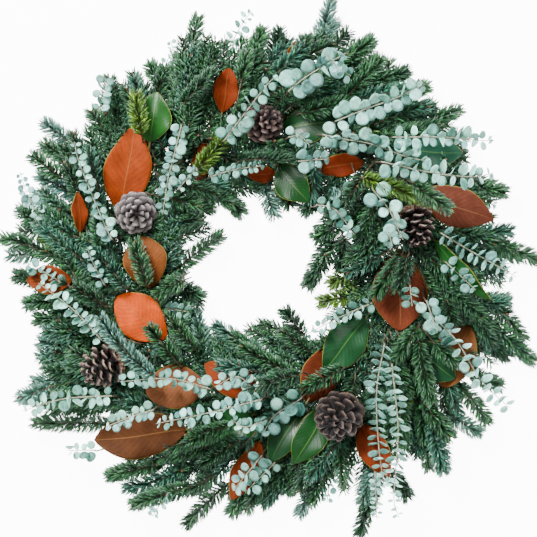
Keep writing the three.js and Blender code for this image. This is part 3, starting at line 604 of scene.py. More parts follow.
class FirSettings(PropertyGroup):
    needle: FloatProperty(name="Needle length", description="Length of a needle", default=0.0150,
                          unit="LENGTH")
    width: FloatProperty(name="Needle half width", description="Half width of a needle", default=0.00084,
                         unit="LENGTH")
    spacing: FloatProperty(name="Spacing", description="Twig for each needle", default=0.00046, unit="LENGTH")
    filler: IntProperty(name="Filler sprays", description="Dark sprays low in the wreath", default=700, min=0)
    seed: IntProperty(name="Seed", description="Seed of the needles' small differences", default=11)


class MagnoliaSettings(PropertyGroup):
    blade: FloatProperty(name="Blade", description="Thickness of a leaf", default=0.0008, unit="LENGTH")
    wave: FloatProperty(name="Wave", description="Height of the rim's waves", default=0.0022, unit="LENGTH")
    back_green: FloatVectorProperty(name="Green side", description="Upper side where it is turned away",
                                    subtype="COLOR", default=(0.014, 0.055, 0.012))
    back_copper: FloatVectorProperty(name="Copper side", description="Felted side where it is turned away",
                                     subtype="COLOR", default=(0.38, 0.16, 0.06))


class EucalyptusSettings(PropertyGroup):
    leaf: FloatVectorProperty(name="Leaf", description="Colour of a leaf", subtype="COLOR",
                              default=(0.38, 0.80, 0.70))
    dusk: FloatVectorProperty(name="Dusky leaf", description="Colour of a leaf in shade", subtype="COLOR",
                              default=(0.070, 0.25, 0.205))
    scale: FloatProperty(name="Leaf scale", description="Size of all the leaves", default=1.14)
    spacing: FloatProperty(name="Pair spacing", description="Stem for each pair, in leaf widths",
                           default=0.64)
    seed: IntProperty(name="Seed", description="Seed of the leaves' small differences", default=23)


class ConeSettings(PropertyGroup):
    base: FloatVectorProperty(name="Base", description="Colour of the underside", subtype="COLOR",
                              default=(0.30, 0.17, 0.11))
    scales: IntProperty(name="Scales", description="Scales on a cone", default=44, min=20)
    seed: IntProperty(name="Seed", description="Seed of the scales' small differences", default=5)


class StageSettings(PropertyGroup):
    distance: FloatProperty(name="Distance", description="Height of the camera", default=6.0, unit="LENGTH")
    key: FloatProperty(name="Key", description="Power of the main light", default=230.0)
    fill: FloatProperty(name="Fill", description="Power of the fill light", default=35.0)
    sheen: FloatProperty(name="Sheen", description="Power of the light that the leaves mirror", default=34.0)
    glow: FloatProperty(name="Glow", description="Light that the white surface gives of itself", default=11.0)
    sky: FloatProperty(name="Sky", description="Strength of the surrounding light", default=0.22)


# ---------------------------------------------------------------- shapes
def thick_stem(kind, k, share):
    """Places on a clamp's thick stem, from its start at share 0 to its end at 1."""
    angle = FORK_STARTS[k] - share * FORK_REACH[kind]
    radius = FORK_RADIUS[kind]
    height = FORK_HEIGHT + FORK_RISE * share
    return np.stack([radius * np.cos(angle), radius * np.sin(angle), height], axis=-1)


def fork_for(kind, place):
    """The clamp number and the place on its thick stem that a twig with its root here forks from."""
    turn = math.atan2(place[1], place[0]) + FORK_AHEAD
    reach = FORK_REACH[kind]
    gaps = FORK_STARTS - reach / 2 - turn
    k = int(np.argmin(np.abs(np.arctan2(np.sin(gaps), np.cos(gaps)))))
    past = FORK_STARTS[k] - turn
    return k, thick_stem(kind, k, np.clip(math.atan2(math.sin(past), math.cos(past)) / reach, 0.2, 0.9))


def tail_path(hub, root, ahead):
    """The bare part of a twig: low from its fork, then up behind its root and over into its own way."""
    back = unit((root - ahead) * np.array([1.0, 1.0, 0.0]))
    rise = root + 0.007 * back
    rise[2] = hub[2] + 0.35 * (root[2] - hub[2])
    return spline([hub, 0.5 * (hub + rise), rise, root + 0.002 * unit(ahead - root)], 9)


def needle_arrays(ways, tones, shares, settings, rng, plan):
    """Needles all along twigs. A way is a parabola through root, middle and tip. Each needle is a slim
    three-sided blade: it leaves the twig at a lean that lessens towards the tip, and bends forwards.
    shares gives how densely each twig is set."""
    ways = np.asarray(ways, float)
    lengths = np.linalg.norm(np.diff(ways, axis=1), axis=2).sum(axis=1)
    counts = np.maximum((lengths * np.asarray(shares) / settings.spacing).astype(int), 12)
    which = np.repeat(np.arange(len(ways)), counts)
    order = np.arange(len(which)) - np.repeat(np.cumsum(counts) - counts, counts)
    s = ((order + rng.uniform(0, 0.9, len(which))) / counts[which])[:, None]
    root, mid, tip = (ways[which, k] for k in range(3))
    at = root * (1 - s) * (1 - 2 * s) + mid * 4 * s * (1 - s) + tip * s * (2 * s - 1)
    along = unit(root * (4 * s - 3) + mid * (4 - 8 * s) + tip * (4 * s - 1))
    across = unit(np.cross(np.array([0.0, 0.0, 1.0]), along))
    up = np.cross(along, across)
    side = np.where(order % 2 == 0, 1.0, -1.0)
    spread = np.where(order % 5 < 3, rng.uniform(1.05, 1.65, len(which)), rng.uniform(0.1, 1.0, len(which)))
    spread = np.where(order % 10 == 7, rng.uniform(1.7, 2.6, len(which)), spread) * side
    out = up * np.cos(spread)[:, None] + across * np.sin(spread)[:, None]
    lean = (1.20 - 0.50 * s[:, 0] ** 2.5 + rng.normal(0, 0.09, len(which)))[:, None]
    way = out * np.sin(lean) + along * np.cos(lean)
    face = unit(up - way * (up * way).sum(axis=1, keepdims=True) + 0.25 * rng.normal(0, 1, way.shape))
    face = unit(face - way * (face * way).sum(axis=1, keepdims=True))
    wide = np.cross(way, face)
    shape = np.clip(0.75 + 1.2 * s[:, 0], 0, 1) * np.clip(0.76 + 1.6 * (1 - s[:, 0]), 0, 1)
    length = (settings.needle * shape * rng.uniform(0.82, 1.08, len(which)))[:, None]
    bend = along * 0.16 + up * 0.05
    rings = []
    for t, w, h in ((0.0, 0.6, 0.5), (0.74, 1.0, 1.0)):
        centre = at + way * length * t + bend * length * t * t
        rings.append(centre - wide * settings.width * w)
        rings.append(centre + face * settings.width * 0.55 * h)
        rings.append(centre + wide * settings.width * w)
    rings.append(at + way * length + bend * length)
    points = np.stack(rings, axis=1)
    # A needle whose foot is under a leaf or a cone, or beside it, doesn't stand through it.
    foot = cell(at)
    above = np.zeros(len(which), bool)
    for k in (1, 4, 6):
        i, j = cell(points[:, k]).T
        cover = plan[i, j]
        above |= (cover > 0) & (points[:, k, 2] > cover - 0.0015)
    foot_cover = plan[foot[:, 0], foot[:, 1]]
    keep = ~(above & ~((foot_cover > 0) & (at[:, 2] > foot_cover)))
    keep &= points[:, :, 2].min(axis=1) > NEEDLE_FLOOR
    points, which = points[keep], which[keep]
    base = np.array([TONES[t][0] for t in tones])[which] * rng.lognormal(-0.15, 0.55, (len(which), 1))
    warm = rng.uniform(-1, 1, (len(which), 1))
    base = base * (1 + np.array([[0.18, 0.04, -0.12]]) * warm)
    pale = np.array([TONES[t][1] for t in tones])[which][:, None]
    pale = np.clip(pale * np.where(rng.uniform(0, 1, (len(which), 1)) < 0.26, 2.3, 0.6), 0, 0.85)
    silver = base + pale * (np.array([[0.32, 0.52, 0.45]]) - base)
    ridge, rim = base, 0.5 * base + 0.5 * silver
    # Painted shade: the foot of each needle is painted at half its colour where it meets the twig. The needle
    # is painted lighter towards its point.
    columns = []
    for gain in (0.5, 1.12):
        columns += [rim * gain, ridge * gain, rim * gain]
    columns.append(rim * 1.3 + 0.01)
    tint = np.stack(columns, axis=1)
    quads = many(ring_faces(2, 3), len(which), 7)
    tris = many([[3, 4, 6], [4, 5, 6], [5, 3, 6], [0, 2, 1]], len(which), 7)
    return points.reshape(-1, 3), quads, tris, tint.reshape(-1, 3)


def leaf_places():
    """Each magnolia leaf's number, node, base, tip, width, bluntness, roll, arch and colour. A leaf of the
    frame is at the frame's height, a low one at its own."""
    for number, row in enumerate(MAGNOLIA_LEAVES + LOW_LEAVES):
        name, x0, y0, x1, y1, width, blunt, roll, arch, colour = row[:10]
        node = f"magnolia_{name}"
        base, tip = on_face(x0, y0), on_face(x1, y1)
        height = 0.001 * row[10] if row[10:] else height_at(node_points(node), tip) - 0.003
        base[2], tip[2] = height - 0.004, height + 0.003
        yield number, node, base, tip, 0.001 * width, blunt, roll, 0.001 * arch, colour


def cell(points):
    """The row and column of places in a plan of 1 mm cells."""
    return np.clip(((points[..., :2] + PLAN_HALF) * PLAN_SCALE).astype(int), 0, PLAN_CELLS - 1)


def covers(leaf_settings):
    """A plan of the heights of the cones and of the frame's magnolia leaves, 0 where there are none."""
    plan = np.zeros((PLAN_CELLS, PLAN_CELLS))
    middles = (np.arange(PLAN_CELLS) + 0.5) / PLAN_SCALE - PLAN_HALF
    for number, node, base, tip, width, blunt, roll, arch, _ in leaf_places():
        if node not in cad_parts:
            continue
        points = leaf_surface(base, tip, 0.96 * width, blunt, roll, arch, leaf_settings.blade,
                              leaf_settings.wave, number + 3, 160, 45)[0]
        i, j = cell(points).T
        np.maximum.at(plan, (i, j), points[:, 2])
    for k in range(len(PINE_CONES)):
        low, high = (np.array(corner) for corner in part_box(f"pine_cone_{k + 1}"))
        middle, half = 0.5 * (low + high), 0.5 * (high - low)
        x, y = (middles - middle[0]) / half[0], (middles - middle[1]) / half[1]
        inside = x[:, None] ** 2 + y[None, :] ** 2 < 0.8
        plan[inside] = np.maximum(plan[inside], middle[2])
    return plan


def under_cover(plan, root, tip, height):
    """The height, or less where the plan has a leaf or a cone over the twig: its room below the lowest of
    them, but never under 10 mm."""
    i, j = cell(root + (tip - root) * np.linspace(0, 1, 30)[:, None]).T
    over = plan[i, j]
    return max(0.010, min(height, over[over > 0].min() - COVER_ROOM)) if (over > 0).any() else height


def placed_sprays(solids, plan):
    """Sprays as root, tip, height, tone and share of needles: the named ones at the heights of the solids,
    the small ones 6 mm lower, from 14 to 60 mm, and under any leaf or cone."""
    sprays = []
    for x0, y0, x1, y1, tone in OUTER_SPRAYS + INNER_SPRAYS + UPPER_SPRAYS:
        root, tip = on_face(x0, y0), on_face(x1, y1)
        sprays.append((root, tip, height_at(solids, tip), tone, NAMED_NEEDLES))
    for x0, y0, x1, y1, tone in SMALL_SPRAYS:
        root, tip = on_face(x0, y0), on_face(x1, y1)
        height = float(np.clip(height_at(solids, tip) - 0.006, 0.014, 0.06))
        sprays.append((root, tip, under_cover(plan, root, tip, height), tone, SMALL_NEEDLES))
    return sprays


def filler_sprays(count, tips, plan, rng):
    """Low sprays at even steps round the wreath. One in four points into the hole and the others outwards.
    By seeded draws each ends short of the furthest placed tip near it, or of a set circle."""
    tip_turn, tip_radius = np.arctan2(tips[:, 1], tips[:, 0]), np.hypot(tips[:, 0], tips[:, 1])
    for k in range(count):
        turn = 2 * np.pi * (k + rng.uniform(-0.3, 0.3)) / count
        outward = k % 4 != 0
        r0 = rng.uniform(0.165, 0.235) if outward else rng.uniform(0.165, 0.19)
        swing = rng.uniform(0.10, 0.34) * (1 if outward else 1.4)
        apart = np.abs((tip_turn - turn + swing + np.pi) % (2 * np.pi) - np.pi)
        if outward:
            most = max(0.235, tip_radius[apart < 0.09].max(initial=0.0) - 0.010)
            r0 = min(r0, most - 0.035)
            r1 = rng.uniform(r0 + 0.02, min(most, 0.300))
        else:
            least = max(0.090, tip_radius[apart < 0.12].min(initial=0.11) + 0.004)
            r1 = rng.uniform(min(least, 0.11), 0.125)
        root = np.array([r0 * math.cos(turn), r0 * math.sin(turn), 0.0])
        tip = np.array([r1 * math.cos(turn - swing), r1 * math.sin(turn - swing), 0.0])
        height = under_cover(plan, root, tip, rng.uniform(0.010, 0.045))
        yield root, tip, height, "dggbdgd"[k % 7], FILLER_NEEDLES


def standing_shoots(rng):
    """Shoots that stand up: root, tip, height and tone. A root is 10 mm nearer to the wreath's middle than
    its tip, and aside by a seeded draw."""
    shoots = []
    for x, y, height, tone in STANDING:
        tip = on_face(x, y)
        away = unit(tip) * 0.010 + np.array([0.006, 0.004, 0.0]) * rng.normal(0, 1, 3)
        shoots.append((tip - away, tip, 0.001 * height, tone))
    return shoots


def fir_twigs(shoots, sprays, rng):
    """The twigs of each clamp as root, middle, tip, tone, fork and share of needles. A spray is bowed to
    one side by a seeded draw."""
    groups = [[] for _ in range(CLAMPS)]
    for root, tip, height, tone in shoots:
        root[2], tip[2] = height - SHOOT_RISE, height
        k, hub = fork_for("fir", root)
        groups[k].append((root, 0.5 * (root + tip), tip, tone, hub, STANDING_NEEDLES))
    for root, tip, height, tone, share in sprays:
        mid = 0.5 * (root + tip)
        root[2], mid[2], tip[2] = height - 0.003, height + 0.001, height
        bow = 0.035 * np.cross([0, 0, 1.0], tip - root) * rng.normal(0, 0.6)
        k, hub = fork_for("fir", root)
        groups[k].append((root, mid + bow, tip, tone, hub, share))
    return groups


def skin_faces(rows, columns):
    """Quads of one skin of a grid, the places round its rim in order, and the next place of each."""
    index = np.arange(rows * columns).reshape(rows, columns)
    corners = [index[:-1, :-1], index[:-1, 1:], index[1:, 1:], index[1:, :-1]]
    rim = np.concatenate([index[0], index[1:, -1], index[-1, -2::-1], index[-2:0:-1, 0]])
    return np.stack(corners, axis=-1).reshape(-1, 4), rim, np.roll(rim, -1)


def leaf_surface(base, tip, width, blunt, roll, arch, blade, wave, seed, steps=36, half_steps=8):
    """A magnolia leaf as two skins on one grid, s from base to tip and c from rim to rim. Its half width
    is a rounded hump of s with a drawn-out tip; it rises in an arch of s, folds up along the midrib
    with |c| and waves along the rim with c squared."""
    rng = np.random.default_rng(seed)
    length = np.linalg.norm(tip - base)
    along = (tip - base) / length
    across = unit(np.cross([0.0, 0.0, 1.0], along))
    up = np.cross(along, across)
    turned = across * math.cos(roll) + up * math.sin(roll)
    normal = np.cross(along, turned)
    s = np.linspace(0, 1, steps + 1)[:, None]
    c = np.linspace(-1, 1, 2 * half_steps + 1)[None, :]
    hump = np.sin(np.pi * s ** (0.92 + 0.33 * blunt)) ** (0.72 - 0.22 * blunt)
    half = 0.5 * width * np.clip(hump * (1 - 0.25 * s**6), 0.018, 1) * (1 + 0.03 * np.sin(9 * s + seed))
    phase = rng.uniform(0, 6.28, 2)
    ripple = wave * c**2 * np.sin(2 * np.pi * 1.7 * s + phase[0] + 0.6 * np.sign(c)) * np.sin(np.pi * s)
    curl = -0.10 * half * c**4 * np.sin(np.pi * s)
    rise = arch * 4 * s * (1 - s) + 0.20 * half * np.abs(c) ** 1.25 + ripple + curl
    rib = 0.0008 * np.exp(-((half * c / 0.0011) ** 2)) * np.clip(1.2 - s, 0.1, 1)
    sway = 0.02 * length * np.sin(np.pi * s + phase[1]) * np.sin(np.pi * s)
    flat = (base + along * length * s[..., None] + turned * (half * c + sway)[..., None]
            + normal * rise[..., None])
    top = flat + normal * (0.5 * blade + rib)[..., None]
    under = flat - normal * (0.5 * blade)
    rows, columns = steps + 1, 2 * half_steps + 1
    grid, rim, after = skin_faces(rows, columns)
    upper, lower = grid[:, ::-1], grid + rows * columns
    edge = np.stack([rim, after, after + rows * columns, rim + rows * columns], axis=1)
    points = np.concatenate([top.reshape(-1, 3), under.reshape(-1, 3)])
    flow = np.stack(np.broadcast_arrays(c, s), axis=-1).reshape(-1, 2)
    flow = np.concatenate([flow, flow])
    quads = np.concatenate([upper, edge, lower])
    second = np.concatenate([np.zeros(len(upper)), np.ones(len(edge)), np.ones(len(lower))])
    if np.dot(np.cross(points[upper[0, 1]] - points[upper[0, 0]], points[upper[0, 2]] - points[upper[0, 0]]),
              normal) < 0:
        quads = quads[:, ::-1]
    stalk = tubes([spline([base - along * 0.009, base, base + along * 0.05 * length], 7)], 0.0015)
    return points, quads, second, flow, stalk


def round_leaves(roots, out, face, sizes, rng):
    """Round leaves: a lens of a centre, a ring and a rim above, and the ring and the centre once more below,
    a leaf's thickness down. The rim is a circle a little drawn out. A leaf is cupped with the square of the
    distance from its middle and folded up with the distance from its midrib."""
    n, seg = len(roots), 12
    wide = np.cross(face, out)
    turn = 2 * np.pi * np.arange(seg) / seg
    cup = rng.uniform(-0.15, 0.35, (n, 1))
    fold = rng.uniform(0.0, 0.30, (n, 1))
    points, flow = [], []
    centre = roots + out * sizes[:, None] * 0.52
    for share in (0.0, 0.55, 1.0):
        angles = turn if share else turn[:1]
        x = share * 0.5 * np.sin(angles)
        y = share * 0.5 * np.cos(angles) * (1 + 0.06 * np.cos(angles))
        lift = 0.5 * cup * share**2 + fold * np.abs(x)[None, :] + 0.03 * share * np.sin(2 * angles)[None, :]
        points.append(centre[:, None] + sizes[:, None, None] * (
            wide[:, None] * x[None, :, None] + out[:, None] * y[None, :, None]
            + face[:, None] * lift[:, :, None]))
        flow.append(np.broadcast_to(np.stack([x, y], axis=1)[None], (n, len(angles), 2)))
    points.append(points[1] - face[:, None] * LEAF_THICKNESS)
    flow.append(flow[1])
    points.append(centre[:, None] - face[:, None] * LEAF_THICKNESS
                  + sizes[:, None, None] * face[:, None] * -0.02)
    flow.append(np.zeros((n, 1, 2)))
    points = np.concatenate(points, axis=1)
    points[..., 2] += np.maximum(LEAF_FLOOR - points[..., 2].min(axis=1, keepdims=True), 0)
    flow = np.concatenate(flow, axis=1)
    j = np.arange(seg)
    k = (j + 1) % seg
    tris = np.concatenate([np.stack([np.zeros(seg, int), 1 + k, 1 + j], axis=1),
                           np.stack([np.full(seg, 3 * seg + 1), 1 + 2 * seg + j, 1 + 2 * seg + k], axis=1)])
    quads = np.concatenate([np.stack([1 + j, 1 + k, 1 + seg + k, 1 + seg + j], axis=1),
                            np.stack([1 + 2 * seg + j, 1 + seg + j, 1 + seg + k, 1 + 2 * seg + k], axis=1)])
    step = 3 * seg + 2
    return (points.reshape(-1, 3), many(quads[:, ::-1], n, step), many(tris[:, ::-1], n, step),
            flow.reshape(-1, 2), step)


def eucalyptus_twigs(scale):
    """The stems of each clamp as leaf size, lean, points and fork. A stem of the frame is at the height of
    its solid, a small one lies on what is under its tip."""
    solids, everything = node_points("eucalyptus_"), node_points("")
    groups = [[] for _ in range(CLAMPS)]
    for index, (size, lean, places) in enumerate(EUCALYPTUS_STEMS + SMALL_STEMS):
        control = np.array([on_face(x, y) for x, y in zip(places[::2], places[1::2])])
        if index < len(EUCALYPTUS_STEMS):
            control[:, 2] = height_at(solids, control[-1]) - 0.002
        else:
            control[:, 2] = top_near(everything, control[-1]) + 0.004
        control[0, 2] -= 0.003
        control[-1, 2] += 0.002
        k, hub = fork_for("eucalyptus", control[0])
        groups[k].append((scale * size * UNIT, lean, control, hub))
    return groups


def leaf_rows(path, size, lean, settings, rng):
    """The leaves of one stem, a row for each side. Pairs stand apart by the spacing, and every second one is
    turned up. Roll, lean, size and colour differ by seeded draws, and the last leaves are the smallest."""
    run = np.concatenate([[0], np.cumsum(np.linalg.norm(np.diff(path, axis=0), axis=1))])
    count = max(2, int(run[-1] / (settings.spacing * size)))
    spots = (np.arange(count) + 0.35) / count * run[-1]
    at, slope = (np.stack([np.interp(spots, run, way[:, a]) for a in range(3)], axis=1)
                 for way in (path, np.gradient(path, axis=0)))
    along = unit(slope)
    across = unit(np.cross([0.0, 0.0, 1.0], along))
    up = np.cross(along, across)
    pair = np.arange(count)
    taper = np.interp(pair, [0, 0.7 * count, count], [1.0, 0.95, 0.5])
    bright, dusk = np.array(settings.leaf), np.array(settings.dusk)
    rows = []
    for side in (-1.0, 1.0):
        roll = (np.where(pair % 2 == 0, 0.1, 0.95) + rng.normal(0, 0.30, count))[:, None]
        spread = across * np.cos(roll) + up * np.sin(roll)
        out = unit(side * spread + (0.32 + rng.normal(0, 0.12, (count, 1))) * along)
        tilt = lean * rng.uniform(0.5, 1.5, (count, 1)) + rng.normal(0, 0.34, (count, 1))
        look = unit(up + along * tilt + across * rng.normal(0, 0.34, (count, 1)))
        face = unit(look - out * (out * look).sum(axis=1, keepdims=True))
        sizes = size * rng.uniform(0.68, 1.12, count) * taper
        points, quads, tris, flow, step = round_leaves(at + out * 0.0012, out, face, sizes, rng)
        # Painted shade: each leaf's colour is drawn part way from the leaf colour to the colour of a leaf in
        # shade, then made brighter or darker by a seeded draw.
        shade = rng.uniform(0, 1, (count, 1)) ** 1.3
        colour = (bright + shade * (dusk - bright)) * rng.uniform(0.7, 1.4, (count, 1))
        colour = colour * np.array([1.0, 1.0, rng.uniform(0.9, 1.05)])
        rows.append((points, quads, tris, np.repeat(colour, step, axis=0), flow))
    return rows


def cone_surface(centre, radius, length, axis, count, colours, rng):
    """A pine cone: scales in a spiral of the golden angle round a core. A scale is a bent wedge, narrow
    and thin at the core and broad, thick and rounded at its end. They stand square at the base and close
    towards the tip."""
    axis = unit(np.asarray(axis, float))
    across = unit(np.cross([0.0, 1.0, 0.0] if abs(axis[2]) > 0.8 else [0.0, 0.0, 1.0], axis))
    other = np.cross(axis, across)
    i = np.arange(count)
    share = ((i + 0.5) / count) ** 0.85
    turn = i * GOLDEN_ANGLE + rng.normal(0, 0.06, count)
    out = across * np.cos(turn)[:, None] + other * np.sin(turn)[:, None]
    aside = np.cross(axis, out)
    spread = np.sin(np.pi * (0.30 + 0.62 * share))
    at = centre + axis * ((share - 0.5) * (length - 0.012))[:, None]
    open_angle = 1.50 - 0.72 * share**2 + rng.normal(0, 0.06, count)
    way = out * np.sin(open_angle)[:, None] + axis * np.cos(open_angle)[:, None]
    thick = np.cross(aside, way)
    reach = radius * spread / np.maximum(np.sin(open_angle), 0.55)
    half = radius * (0.225 * spread + 0.04)
    rows, columns = 7, 5
    t = np.array([0.0, 0.3, 0.55, 0.75, 0.88, 0.96, 1.0])
    c = np.linspace(-1, 1, columns)
    width = np.array([0.3, 0.45, 0.68, 0.92, 1.0, 0.88, 0.66])
    body = np.array([0.5, 0.5, 0.6, 0.8, 1.0, 1.0, 0.7]) * 0.0009
    top, low = [], []
    for k in range(rows):
        rounded = 1 - 0.10 * c**2 * t[k] ** 3
        along = (reach[:, None] * t[k] * rounded[None])[..., None]
        side = (half[:, None] * width[k] * c[None])[..., None]
        bend = (radius * (0.12 * t[k] ** 3 - 0.10 * t[k] + 0.09 * t[k] * c[None] ** 2))[..., None]
        middle = at[:, None] + way[:, None] * along + aside[:, None] * side + thick[:, None] * bend
        puff = (body[k] * (1.25 - 0.75 * np.abs(c)))[None, :, None]
        top.append(middle + thick[:, None] * puff)
        low.append(middle - thick[:, None] * puff * 0.8)
    points = np.concatenate(top + low, axis=1)
    grid, edge, after = skin_faces(rows, columns)
    wall = np.stack([edge, edge + rows * columns, after + rows * columns, after], axis=1)
    faces = np.concatenate([grid, wall, grid[:, ::-1] + rows * columns])
    first = points[0]
    normal = np.cross(first[grid[0, 1]] - first[grid[0, 0]], first[grid[0, 2]] - first[grid[0, 0]])
    if np.dot(normal, thick[0]) < 0:
        faces = faces[:, ::-1]
    # Painted shade: each scale is painted from the near-black inside colour at the core to its face colour at
    # its end, and its lower skin is painted darker than its upper one.
    blend = np.array([0.0, 0.0, 0.15, 0.5, 0.85, 1.0, 1.0])[:, None] * np.ones(columns)[None]
    pale = np.array([0.0, 0.0, 0.0, 0.0, 0.0, 0.4, 1.0])[:, None] * np.ones(columns)[None]
    pale = np.maximum(pale, np.array([0.0, 0.0, 0.0, 0.1, 0.3, 0.6, 1.0])[:, None] * (np.abs(c) > 0.9)[None])
    blend, pale = (np.concatenate([v.ravel(), 0.8 * v.ravel()])[None, :, None] for v in (blend, pale))
    gain = rng.uniform(0.75, 1.25, (count, 1, 1))
    inside, face, rim = (np.asarray(colour) for colour in colours)
    tint = (inside + blend * (face - inside) + pale * (rim - face) * blend) * gain
    spots = np.linspace(0, 1, 9)
    core = tubes([centre + axis * ((spots - 0.5) * (length - 0.008))[:, None]],
                 radius * 0.30 * np.sin(np.pi * (0.2 + 0.7 * spots)), 12)
    return points.reshape(-1, 3), many(faces, count, 2 * rows * columns), tint.reshape(-1, 3), core


def cone_base(centre, radius, length, axis):
    """The underside of a cone: a shallow dome of closed scales, each a small knob at a place of the golden
    angle with a radius of the square root of its number."""
    axis = unit(np.asarray(axis, float))
    across = unit(np.cross([0.0, 0.0, 1.0], axis))
    other = np.cross(axis, across)
    i = np.arange(KNOBS)
    share = np.sqrt((i + 0.5) / KNOBS)
    turn = GOLDEN_ANGLE * i
    out = across * np.cos(turn)[:, None] + other * np.sin(turn)[:, None]
    disc = 0.80 * radius
    end = centre - axis * (0.5 * length - 0.011)
    at = end + out * (disc * share)[:, None] - axis * (0.009 * np.sqrt(1 - 0.98 * share**2))[:, None]
    way = unit(out * share[:, None] * 0.9 - axis)
    knobs = tubes(np.stack([at - 0.004 * way, at, at + 0.0012 * way], axis=1), [0.0019, 0.0019, 0.0009], 6)
    spots = np.linspace(0, 1, 7)
    dome = tubes([end - axis * (0.0085 * spots)[:, None]], disc * np.sqrt(1 - 0.97 * spots**2), 20)
    return knobs, dome


def join(*groups):
    """Several sets of points, quads, tris and more as one. A group is (points, quads, tris, extra...)."""
    offset, points, quads, tris = 0, [], [], []
    extras = [[] for _ in groups[0][3:]]
    for group in groups:
        points.append(group[0])
        if len(group[1]):
            quads.append(np.asarray(group[1]) + offset)
        if len(group[2]):
            tris.append(np.asarray(group[2]) + offset)
        for kept, extra in zip(extras, group[3:]):
            kept.append(extra)
        offset += len(group[0])
    return (np.concatenate(points), np.concatenate(quads) if quads else (),
            np.concatenate(tris) if tris else (), *(np.concatenate(e) for e in extras))


def plain_tint(points, colour):
    """One colour at every point."""
    return np.broadcast_to(np.asarray(colour, float), (len(points), 3))


def ready(obj, nodes=()):
    """The object rides on the one body and stands for its nodes."""
    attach(obj, "root")
    if nodes:
        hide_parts(*nodes)


# ---------------------------------------------------------------- operators
class WREATH_OT_ring(Operator):
    """Makes the double wire ring with its bent clamps."""

    bl_idname = "wreath.ring"
    bl_label = "Wire ring"

    def execute(self, context):
        """Two circles of wire and a bent wire across them at each clamp."""
        s = context.scene.wreath_wire
        turn = 2 * np.pi * np.arange(s.segments) / s.segments
        groups = []
        for radius in (RING_RADIUS - RING_HALF_GAP, RING_RADIUS + RING_HALF_GAP):
            sides = 10
            spin = 2 * np.pi * np.arange(sides) / sides
            r = radius + s.wire * np.cos(spin)[None, :]
            z = s.wire + s.wire * np.sin(spin)[None, :] * np.ones((s.segments, 1))
            points = np.stack([r * np.cos(turn)[:, None], r * np.sin(turn)[:, None], z], axis=-1)
            groups.append((points.reshape(-1, 3), ring_faces(s.segments, sides, True)[:, ::-1], ()))
        g, h = RING_HALF_GAP, CLAMP_HEIGHT
        outline = [(-0.005, h), (-g - 0.001, h - 0.002), (-g, s.wire), (g, s.wire), (g + 0.001, h - 0.002),
                   (0.005, h)]
        for k in range(CLAMPS):
            a = 2 * np.pi * (k + 0.5) / CLAMPS
            path = [((RING_RADIUS + r) * math.cos(a), (RING_RADIUS + r) * math.sin(a), z) for r, z in outline]
            legs = [np.linspace(start, end, 7)[:-1] for start, end in zip(path, path[1:])]
            rounded = np.concatenate(legs + [path[-1:]])
            for _ in range(3):
                rounded[1:-1] = 0.25 * rounded[:-2] + 0.5 * rounded[1:-1] + 0.25 * rounded[2:]
            groups.append(tubes([rounded], s.wire * 0.8, 8))
        points, quads, tris = join(*groups)
        ready(surface("wire_frame", points, quads, tris, materials=[wire_material()]), ["wire_ring"])
        return {"FINISHED"}


class WREATH_OT_fir(Operator):
    """Makes the fir boughs: thick stems in the clamps, twigs and all their needles."""

    bl_idname = "wreath.fir"
    bl_label = "Fir boughs"

    def execute(self, context):
        """One object of needles, one of buds and one of wood for each bough."""
        s = context.scene.wreath_fir
        rng = np.random.default_rng(s.seed)
        plan = covers(context.scene.wreath_magnolia)
        sprays = placed_sprays(node_points("fir_"), plan)
        shoots = standing_shoots(rng)
        sprays += filler_sprays(s.filler, np.array([tip for _, tip, *_ in sprays]), plan, rng)
        needle = needle_material()
        bark = bark_material("fir_bark", (0.045, 0.030, 0.018), (0.17, 0.125, 0.07))
        bud_skin = bark_material("fir_buds", (0.10, 0.035, 0.015), (0.26, 0.12, 0.05))
        for k, group in enumerate(fir_twigs(shoots, sprays, rng)):
            name = f"fir_{k + 1:02d}"
            roots, middles, tips, tones, hubs, shares = zip(*group)
            ways = list(zip(roots, middles, tips))
            points, quads, tris, tint = needle_arrays(ways, tones, shares, s, rng, plan)
            ready(surface(f"{name}_needles", points, quads, tris, tint, materials=[needle]), [name])
            twigs = np.array([spline(way, TWIG_STEPS) for way in ways])
            tails = np.array([tail_path(*places) for places in zip(hubs, roots, middles)])
            ends = twigs[:, -1]
            onward = unit(ends - twigs[:, -2])
            buds = ends[:, None] + onward[:, None] * np.linspace(-0.001, 0.0035, 5)[:, None]
            points, quads, tris = tubes(buds, [0.0008, 0.0016, 0.0018, 0.0013, 0.0005])
            ready(surface(f"{name}_buds", points, quads, tris, materials=[bud_skin]), [name])
            stem = thick_stem("fir", k, np.linspace(0, 1, FORK_STEPS))
            points, quads, tris = join(tubes(twigs, np.linspace(0.00115, 0.0006, TWIG_STEPS)),
                                       tubes(tails, TAIL_RADIUS),
                                       tubes([stem], np.linspace(0.0042, 0.0033, FORK_STEPS), 10))
            ready(surface(f"{name}_wood", points, quads, tris, materials=[bark]), [name])
        return {"FINISHED"}


